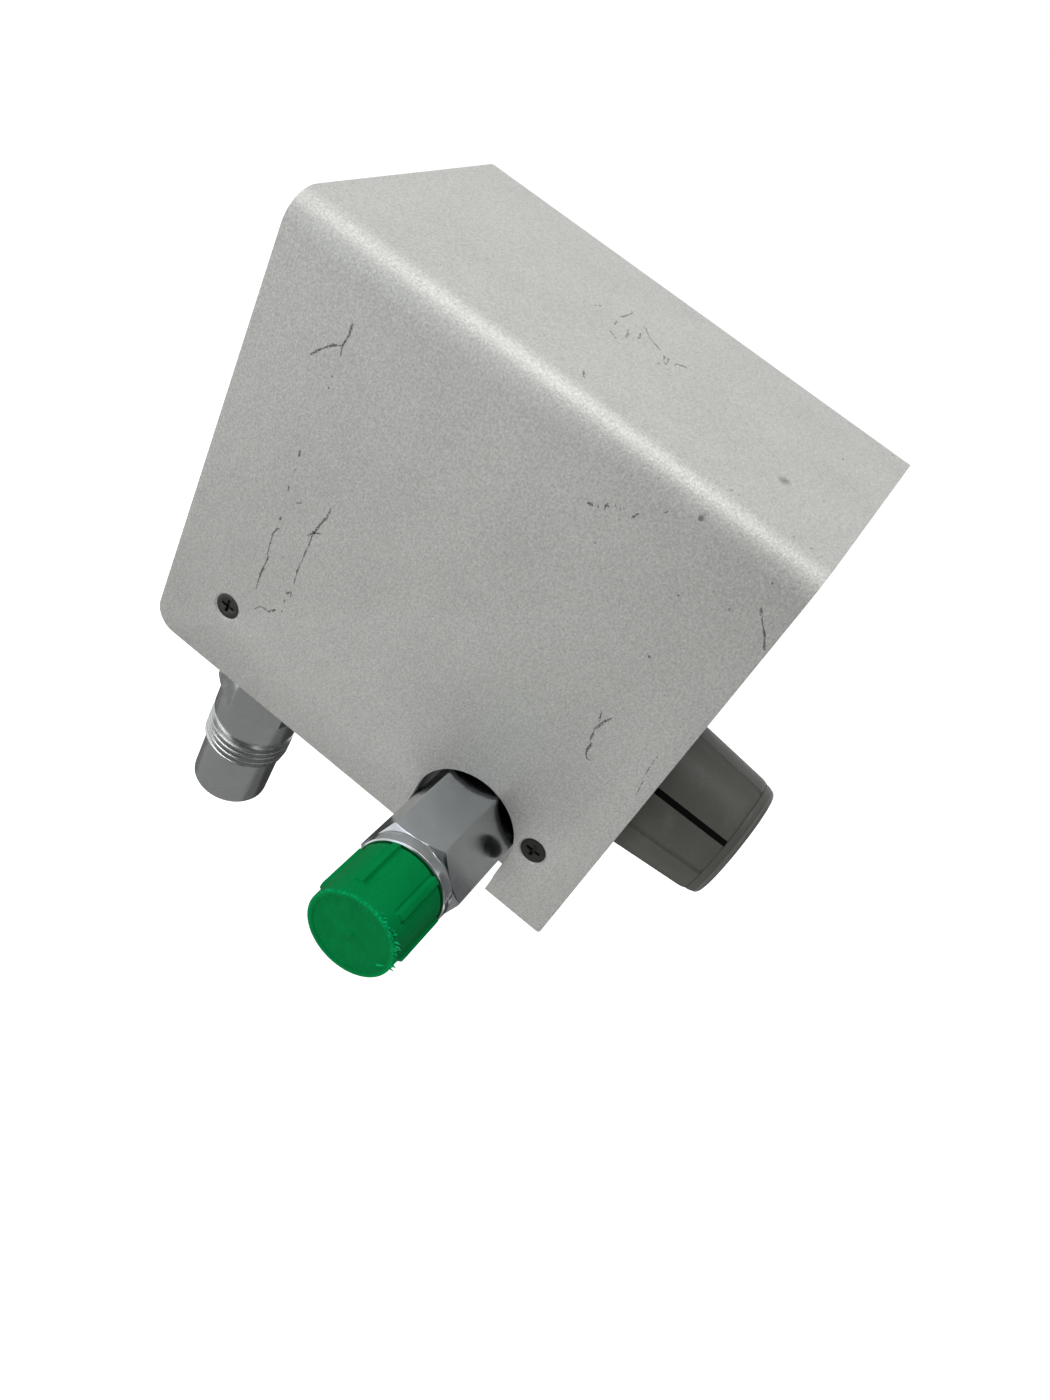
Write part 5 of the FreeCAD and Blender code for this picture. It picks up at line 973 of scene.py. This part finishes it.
SIDE_SCRATCHES = [
    [(-18.23, 35.47), (-18.35, 33.32), (-17.95, 30.94), (-18.29, 29.02)],
    [(-17.87, 30.74), (-16.31, 29.86), (-14.75, 28.17), (-12.98, 25.8)],
    [(-17.53, 8.9), (-17.75, 7.49)], [(-17.89, 5.06), (-18.16, 4.05)], [(-17.86, 1.09), (-18.29, -0.37)],
    [(-18.63, -5.62), (-18.91, -6.69)],
    [(-19.5, -8.19), (-18.85, -8.78), (-18.49, -10.31), (-18.58, -11.5), (-18.84, -14.5), (-19.34, -15.99),
     (-19.08, -19.67), (-19.33, -23.96)],
    [(-27.32, 2.99), (-27.28, 0.94), (-26.4, -2.37), (-26.08, -4.34), (-26.06, -5.52), (-26.02, -10.19),
     (-25.94, -13.26), (-26.33, -17.01)],
    [(-25.08, -5.43), (-26.11, -3.89), (-27.63, -2.9)], [(-20.61, -0.96), (-21.74, -0.23)],
    [(-20.53, -28.19), (-21.72, -26.61), (-23.6, -26.47), (-24.9, -24.87)],
    [(-25.77, -21.25), (-25.98, -22.35)],
    [(-25.19, -19.21), (-25.67, -19.67), (-26.5, -18.74), (-26.7, -19.99)],
    [(-67.23, 35.04), (-67.74, 35.28), (-68.3, 35.2)], [(-68.72, 35.93), (-69.28, 35.5)],
    [(-69.85, 36.96), (-70.12, 35.94)], [(-69.92, 37.27), (-70.67, 36.68)], [(-71.13, 37.9), (-71.75, 37.37)],
    [(-74.46, 37.79), (-75.16, 39.05)], [(-78.27, 41.48), (-78.76, 42.31)], [(-95.1, 35.64), (-95.39, 34.85)],
    [(-98.85, 38.99), (-99.45, 38.05), (-100.52, 36.8), (-101.71, 35.64), (-102.67, 34.26), (-103.4, 33.3)],
    [(-88.3, 4.78), (-89.03, 2.63)],
    [(-90.48, 5.06), (-89.89, 3.5), (-89.42, 1.99), (-89.27, 0.36), (-89.64, -1.67), (-90.27, -2.44),
     (-90.15, -3.95), (-90.99, -5.58), (-91.84, -5.38)],
]
SIDE_SCUFFS = [[(-100.68, 4.9), (-100.59, 2.63), (-100.94, -0.35)],
               [(-101.38, -1.59), (-101.56, -3.12), (-101.93, -5.33)]]
SIDE_SPECKS = [(-18.15, 24.9, 0.2), (-18.4, 22.7, 0.22), (-26.2, -24.1, 0.2), (-72.3, 37.7, 0.16),
               (-72.7, 38.2, 0.18), (-83.5, 44.6, 0.55), (-71.7, 30.2, 0.17), (-74.5, 30.3, 0.2),
               (-89.45, 19.4, 0.28), (-75.0, 13.2, 0.17), (-98.0, 43.1, 0.2), (-91.6, 36.0, 0.15),
               (-87.5, 31.8, 0.18), (-26.1, -3.9, 0.45), (-18.8, -6.2, 0.25)]
TOP_SCRATCHES = [
    [(8.55, -46.65), (7.76, -46.93), (5.23, -46.94), (3.07, -46.87), (2.77, -46.44)],
    [(0.0, -47.32), (-2.01, -47.73)],
    [(-5.38, -48.38), (-6.18, -49.65), (-6.75, -50.54)], [(0.05, -49.8), (-1.96, -50.74), (-3.94, -51.22)],
    [(2.23, -51.57), (1.01, -52.03), (-0.87, -52.49)],
    [(5.98, -50.41), (5.58, -51.24), (4.26, -52.25), (3.09, -53.11), (2.32, -54.42), (1.96, -55.34),
     (1.08, -56.5)],
    [(0.26, -57.87), (-1.63, -58.61), (-2.95, -59.58), (-1.47, -59.4), (0.41, -58.66)],
    [(-4.54, -60.31), (-3.98, -60.83)],
    [(-0.94, -60.58), (0.81, -60.59), (1.02, -61.24), (1.69, -61.56), (1.73, -62.02)],
    [(-25.78, -53.54), (-27.41, -54.41), (-27.94, -55.0)],
]
TOP_SPECKS = [(1.4, -42.8, 0.3), (0.35, -42.4, 0.2), (8.5, -46.6, 0.35), (-4.4, -58.7, 0.32),
              (1.7, -61.9, 0.35), (-7.6, -51.8, 0.14), (7.85, -49.1, 0.14), (29.4, -75.0, 0.2),
              (-3.0, -72.6, 0.22), (-4.2, -81.0, 0.22), (11.05, -93.65, 0.3), (26.1, -98.4, 0.25),
              (28.7, -100.2, 0.25), (-10.6, -95.95, 0.33),
              (-13.2, -99.2, 0.2), (-29.0, -96.2, 0.25), (-28.9, -84.2, 0.3), (-28.8, -85.6, 0.22),
              (-28.6, -99.3, 0.25), (-28.8, -101.3, 0.22)]


def mark_mesh(lines, specks, lift, width):
    """Thin broken ribbons along the lines and ragged spots at the specks; lift places a flat point."""
    dice = np.random.default_rng(7)
    points, faces = [], []
    for line in lines:
        knots = np.array(line, float)
        runs = np.linalg.norm(np.diff(knots, axis=0), axis=1)
        total = runs.sum()
        count = max(int(total / MARK_STEP), 3)
        reach = np.concatenate(([0], np.cumsum(runs)))
        at = np.linspace(0, total, count + 1)
        path = np.stack([np.interp(at, reach, knots[:, k]) for k in (0, 1)], axis=1)
        path[1:-1] += dice.normal(0, MARK_WANDER, path[1:-1].shape)
        heading = np.gradient(path, axis=0)
        heading /= np.linalg.norm(heading, axis=1)[:, None]
        across = np.stack((-heading[:, 1], heading[:, 0]), axis=1)
        stops = np.arange(0, count + 5, 4)
        slow = np.interp(np.arange(count + 1), stops, dice.uniform(0.3, 1.3, len(stops)))
        half = width * 0.5 * slow * np.minimum(1, np.minimum(at, total - at) / MARK_FADE + 0.25)
        start = len(points)
        for spot, side, w in zip(path, across, half):
            points += [lift(spot - side * w), lift(spot + side * w)]
        faces += grid_faces(count + 1, 2, start)
    for a, b, size in specks:
        start = len(points)
        for k in range(9):
            angle, reach = math.radians(40 * k), size * dice.uniform(0.7, 1.15)
            points.append(lift(np.array((a + reach * math.cos(angle), b + reach * math.sin(angle)))))
        faces.append(tuple(range(start, start + 9)))
    return points, faces


def make_wear_marks():
    """Scratches, specks and a smudge on the cover, where the real cover carries them."""
    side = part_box("cover")[0].x - 0.000010
    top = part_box("cover")[1].z + 0.000006
    scratch = mark_material("scratch_grey", (0.12, 0.118, 0.11), 0.37, 0.56, 0.45)
    faint = mark_material("scuff_grey", (0.15, 0.15, 0.14), 0.40, 0.60, 0.5)

    def on_side(point):
        return side, point[0] * MM, point[1] * MM

    def on_top(point):
        return point[0] * MM, point[1] * MM, top

    for name, lines, specks, lift, width, material in (
            ("side_scratches", SIDE_SCRATCHES, SIDE_SPECKS, on_side, MARK_WIDTH, scratch),
            ("side_scuffs", SIDE_SCUFFS, [], on_side, 0.2, faint),
            ("top_scratches", TOP_SCRATCHES, TOP_SPECKS, on_top, MARK_WIDTH, faint)):
        points, faces = mark_mesh(lines, specks, lift, width)
        new_piece(name, points, faces, "cover_paint", "housing", material)
    ring = [(SMUDGE[0] + 3.4 * math.cos(a), SMUDGE[1] + 3.0 * math.sin(a))
            for a in np.linspace(0, 2 * math.pi, 33)[:-1]]
    smudge = smudge_material("smudge_grey", (*SMUDGE, COVER_TOP), (1.9, 1.5, 5.0), (0.24, 0.24, 0.23))
    points = [(x * MM, y * MM, top) for x, y in ring]
    new_piece("top_smudge", points, [tuple(range(32))], "cover_paint", "housing", smudge)


def dress_hidden_parts():
    """Give every CAD node that stays its own finish."""
    for node, thing in frame["nodes"].items():
        slot = thing.material_slots[0].material.name.split(".")[0]
        thing.material_slots[0].material = finish(slot)


# Studio

def aim(place, target):
    """Rotation that turns a lamp or a card at a place to its target."""
    return (Vector(target) - Vector(place)).to_track_quat("-Z", "Y").to_euler()


def add_lamp(name, place, target, size, power, glossy=True):
    """A rectangular lamp; one that isn't glossy leaves no highlight."""
    lamp = bpy.data.lights.new(name, "AREA")
    lamp.shape = "RECTANGLE"
    lamp.size, lamp.size_y = size
    lamp.energy = power
    holder = place_object(name, lamp)
    holder.location = place
    holder.rotation_euler = aim(place, target)
    holder.visible_camera = False
    holder.visible_glossy = glossy


def seen_rays(tree):
    """One where the camera, a reflection or a view through the piece looks, and else none."""
    rays = add_node(tree, "ShaderNodeLightPath")
    seen = math_node(tree, "MAXIMUM", rays.outputs["Is Camera Ray"], rays.outputs["Is Glossy Ray"])
    return math_node(tree, "MAXIMUM", seen, rays.outputs["Is Transmission Ray"])


def make_floor(drop, tone, sky):
    """Plain pale floor, white to the camera where no shadow falls."""
    count, reach = 24, 3.0
    steps = np.linspace(-reach, reach, count + 1)
    points = [(x, y, -drop) for y in steps for x in steps]
    mesh = bpy.data.meshes.new("studio_floor")
    mesh.from_pydata(points, [], grid_faces(count + 1, count + 1))
    material, tree, surface = plain_material(
        "floor_white", Base_Color=(tone, tone, tone, 1), Roughness=0.9, Specular_IOR_Level=0.0,
        Emission_Color=(1, 1, 1, 1))
    glow = multiply(tree, seen_rays(tree), 1.01 - tone * sky)
    tree.links.new(glow, surface.inputs["Emission Strength"])
    mesh.materials.append(material)
    floor = place_object("studio_floor", mesh)


def add_card(name, place, target, size, tone, colour=(1, 1, 1)):
    """A studio card that only shows in reflections."""
    half_w, half_h = size[0] / 2, size[1] / 2
    mesh = bpy.data.meshes.new(name)
    points = [(x * half_w, y * half_h, 0) for y in (-1, 0, 1) for x in (-1, 0, 1)]
    mesh.from_pydata(points, [], grid_faces(3, 3))
    material, _, _ = plain_material(name, Base_Color=(0, 0, 0, 1), Roughness=1.0, Specular_IOR_Level=0.0,
                                    Emission_Color=rgba(colour), Emission_Strength=tone)
    mesh.materials.append(material)
    card = place_object(name, mesh)
    card.location = place
    card.rotation_euler = aim(place, target)
    card.visible_camera = False
    card.visible_diffuse = False
    card.visible_shadow = False


def make_studio():
    studio = bpy.context.scene.blender_studio
    make_floor(studio.floor_drop, studio.floor_tone, studio.sky)
    world = bpy.data.worlds.new("studio_world")
    bpy.context.scene.world = world
    world.use_nodes = True
    tree = world.node_tree
    tree.nodes.clear()
    soft = add_node(tree, "ShaderNodeBackground", {"Color": (1, 1, 1, 1), "Strength": studio.sky})
    white = add_node(tree, "ShaderNodeBackground", {"Color": (1, 1, 1, 1), "Strength": 1.0})
    mixed = add_node(tree, "ShaderNodeMixShader", {0: seen_rays(tree), 1: soft.outputs[0],
                                                   2: white.outputs[0]})
    add_node(tree, "ShaderNodeOutputWorld", {"Surface": mixed.outputs[0]})
    centre = (-0.01, -0.055, 0.0)
    add_lamp("lamp_above", (-0.11, 0.18, 0.96), centre, (0.48, 1.35), studio.key_power)
    add_lamp("lamp_left", (-0.4, -0.1, -0.3), centre, (0.3, 0.3), studio.fill_power, glossy=False)
    add_lamp("lamp_near", (-0.28, -0.085, -0.05), centre, (0.08, 0.08), studio.near_power, glossy=False)
    add_card("card_left", (-0.64, -0.26, 0.08), centre, (0.66, 0.8), 0.2)
    add_card("card_behind", (-0.62, -0.2, 0.6), centre, (0.85, 0.7), 0.1)
    add_card("card_below", (-0.3, -0.1, -0.3), (-0.3, -0.1, 0.0), (0.6, 0.8), 0.34)
    add_card("card_below_middle", (0.06, -0.1, -0.301), (0.06, -0.1, 0.0), (0.14, 0.8), 0.17)
    add_card("card_below_right", (0.36, -0.1, -0.3), (0.36, -0.1, 0.0), (0.5, 0.8), 0.06)
    add_card("card_left_front", (-0.5, -0.42, -0.08), centre, (0.5, 0.6), 0.015)
    add_card("card_front", (0.1, -0.6, 0.0), centre, (0.9, 0.6), 0.17)
    add_card("card_window", (-0.45, 0.27, 0.12), centre, (0.3, 0.3), 1.8, (0.86, 0.93, 1.0))
    scene = bpy.context.scene
    scene.view_settings.view_transform = "Standard"
    lens = bpy.data.cameras.new("photo_camera")
    lens.sensor_fit = "AUTO"
    lens.sensor_width = 36.0
    lens.lens = PHOTO_LENS
    lens.clip_start = 0.005
    camera = place_object("photo_camera", lens)
    camera.matrix_world = Matrix(PHOTO_CAMERA)
    scene.camera = camera


# Operators

def operator(identifier, label, text, work):
    """An operator that runs one making function."""
    def execute(self, context):
        work()
        return {"FINISHED"}
    name = "BLENDER_OT_" + identifier
    return type(name, (bpy.types.Operator,), {
        "bl_idname": "gas_blender." + identifier, "bl_label": label, "__doc__": text, "execute": execute})


STEPS = [
    operator("dress_parts", "Finish the solids", "Give every CAD node its finish", dress_hidden_parts),
    operator("make_cover", "Cover", "Break the edges of the cover, dial plate and screws", make_cover_skin),
    operator("make_outlet", "Outlet", "Make the outlet with its hexagon and thread", make_outlet_skin),
    operator("make_inlets", "Inlets", "Make the air and oxygen inlets", make_inlet_skins),
    operator("make_cap", "Outlet cap", "Make the ribbed outlet cap", make_cap_skin),
    operator("make_flash", "Cap flash", "Add the torn moulding flash on the cap's rim", make_cap_flash),
    operator("make_knob", "Knob", "Make the knob, its pointer and its end cap", make_knob_skins),
    operator("make_scale", "Scale", "Print the scale round the knob", make_scale_print),
    operator("make_marks", "Wear marks", "Lay the scratches and specks on the cover", make_wear_marks),
    operator("make_studio", "Studio", "Make the floor, the lamps and the camera", make_studio),
]

SETTINGS = {
    "blender_paint": PaintSettings, "blender_threads": ThreadSettings, "blender_cap": CapSettings,
    "blender_knob": KnobSettings, "blender_scale": ScaleSettings, "blender_studio": StudioSettings,
}


class BLENDER_PT_parts(bpy.types.Panel):
    """Lists the steps and their settings in the sidebar."""
    bl_label = "Gas Blender"
    bl_idname = "BLENDER_PT_parts"
    bl_space_type = "VIEW_3D"
    bl_region_type = "UI"
    bl_category = "Gas Blender"

    def draw(self, context):
        for name in SETTINGS:
            box = self.layout.box()
            group = getattr(context.scene, name)
            for key in group.__annotations__:
                box.prop(group, key)
        for step in STEPS:
            self.layout.operator(step.bl_idname)


def register():
    for kind in (*SETTINGS.values(), *STEPS, BLENDER_PT_parts):
        bpy.utils.register_class(kind)
    for name, kind in SETTINGS.items():
        setattr(bpy.types.Scene, name, PointerProperty(type=kind))


def unregister():
    for name in SETTINGS:
        delattr(bpy.types.Scene, name)
    for kind in (BLENDER_PT_parts, *reversed(STEPS), *SETTINGS.values()):
        bpy.utils.unregister_class(kind)


def main():
    register()
    for step in STEPS:
        group, name = step.bl_idname.split(".")
        getattr(getattr(bpy.ops, group), name)()


if __name__ == "__main__":
    main()
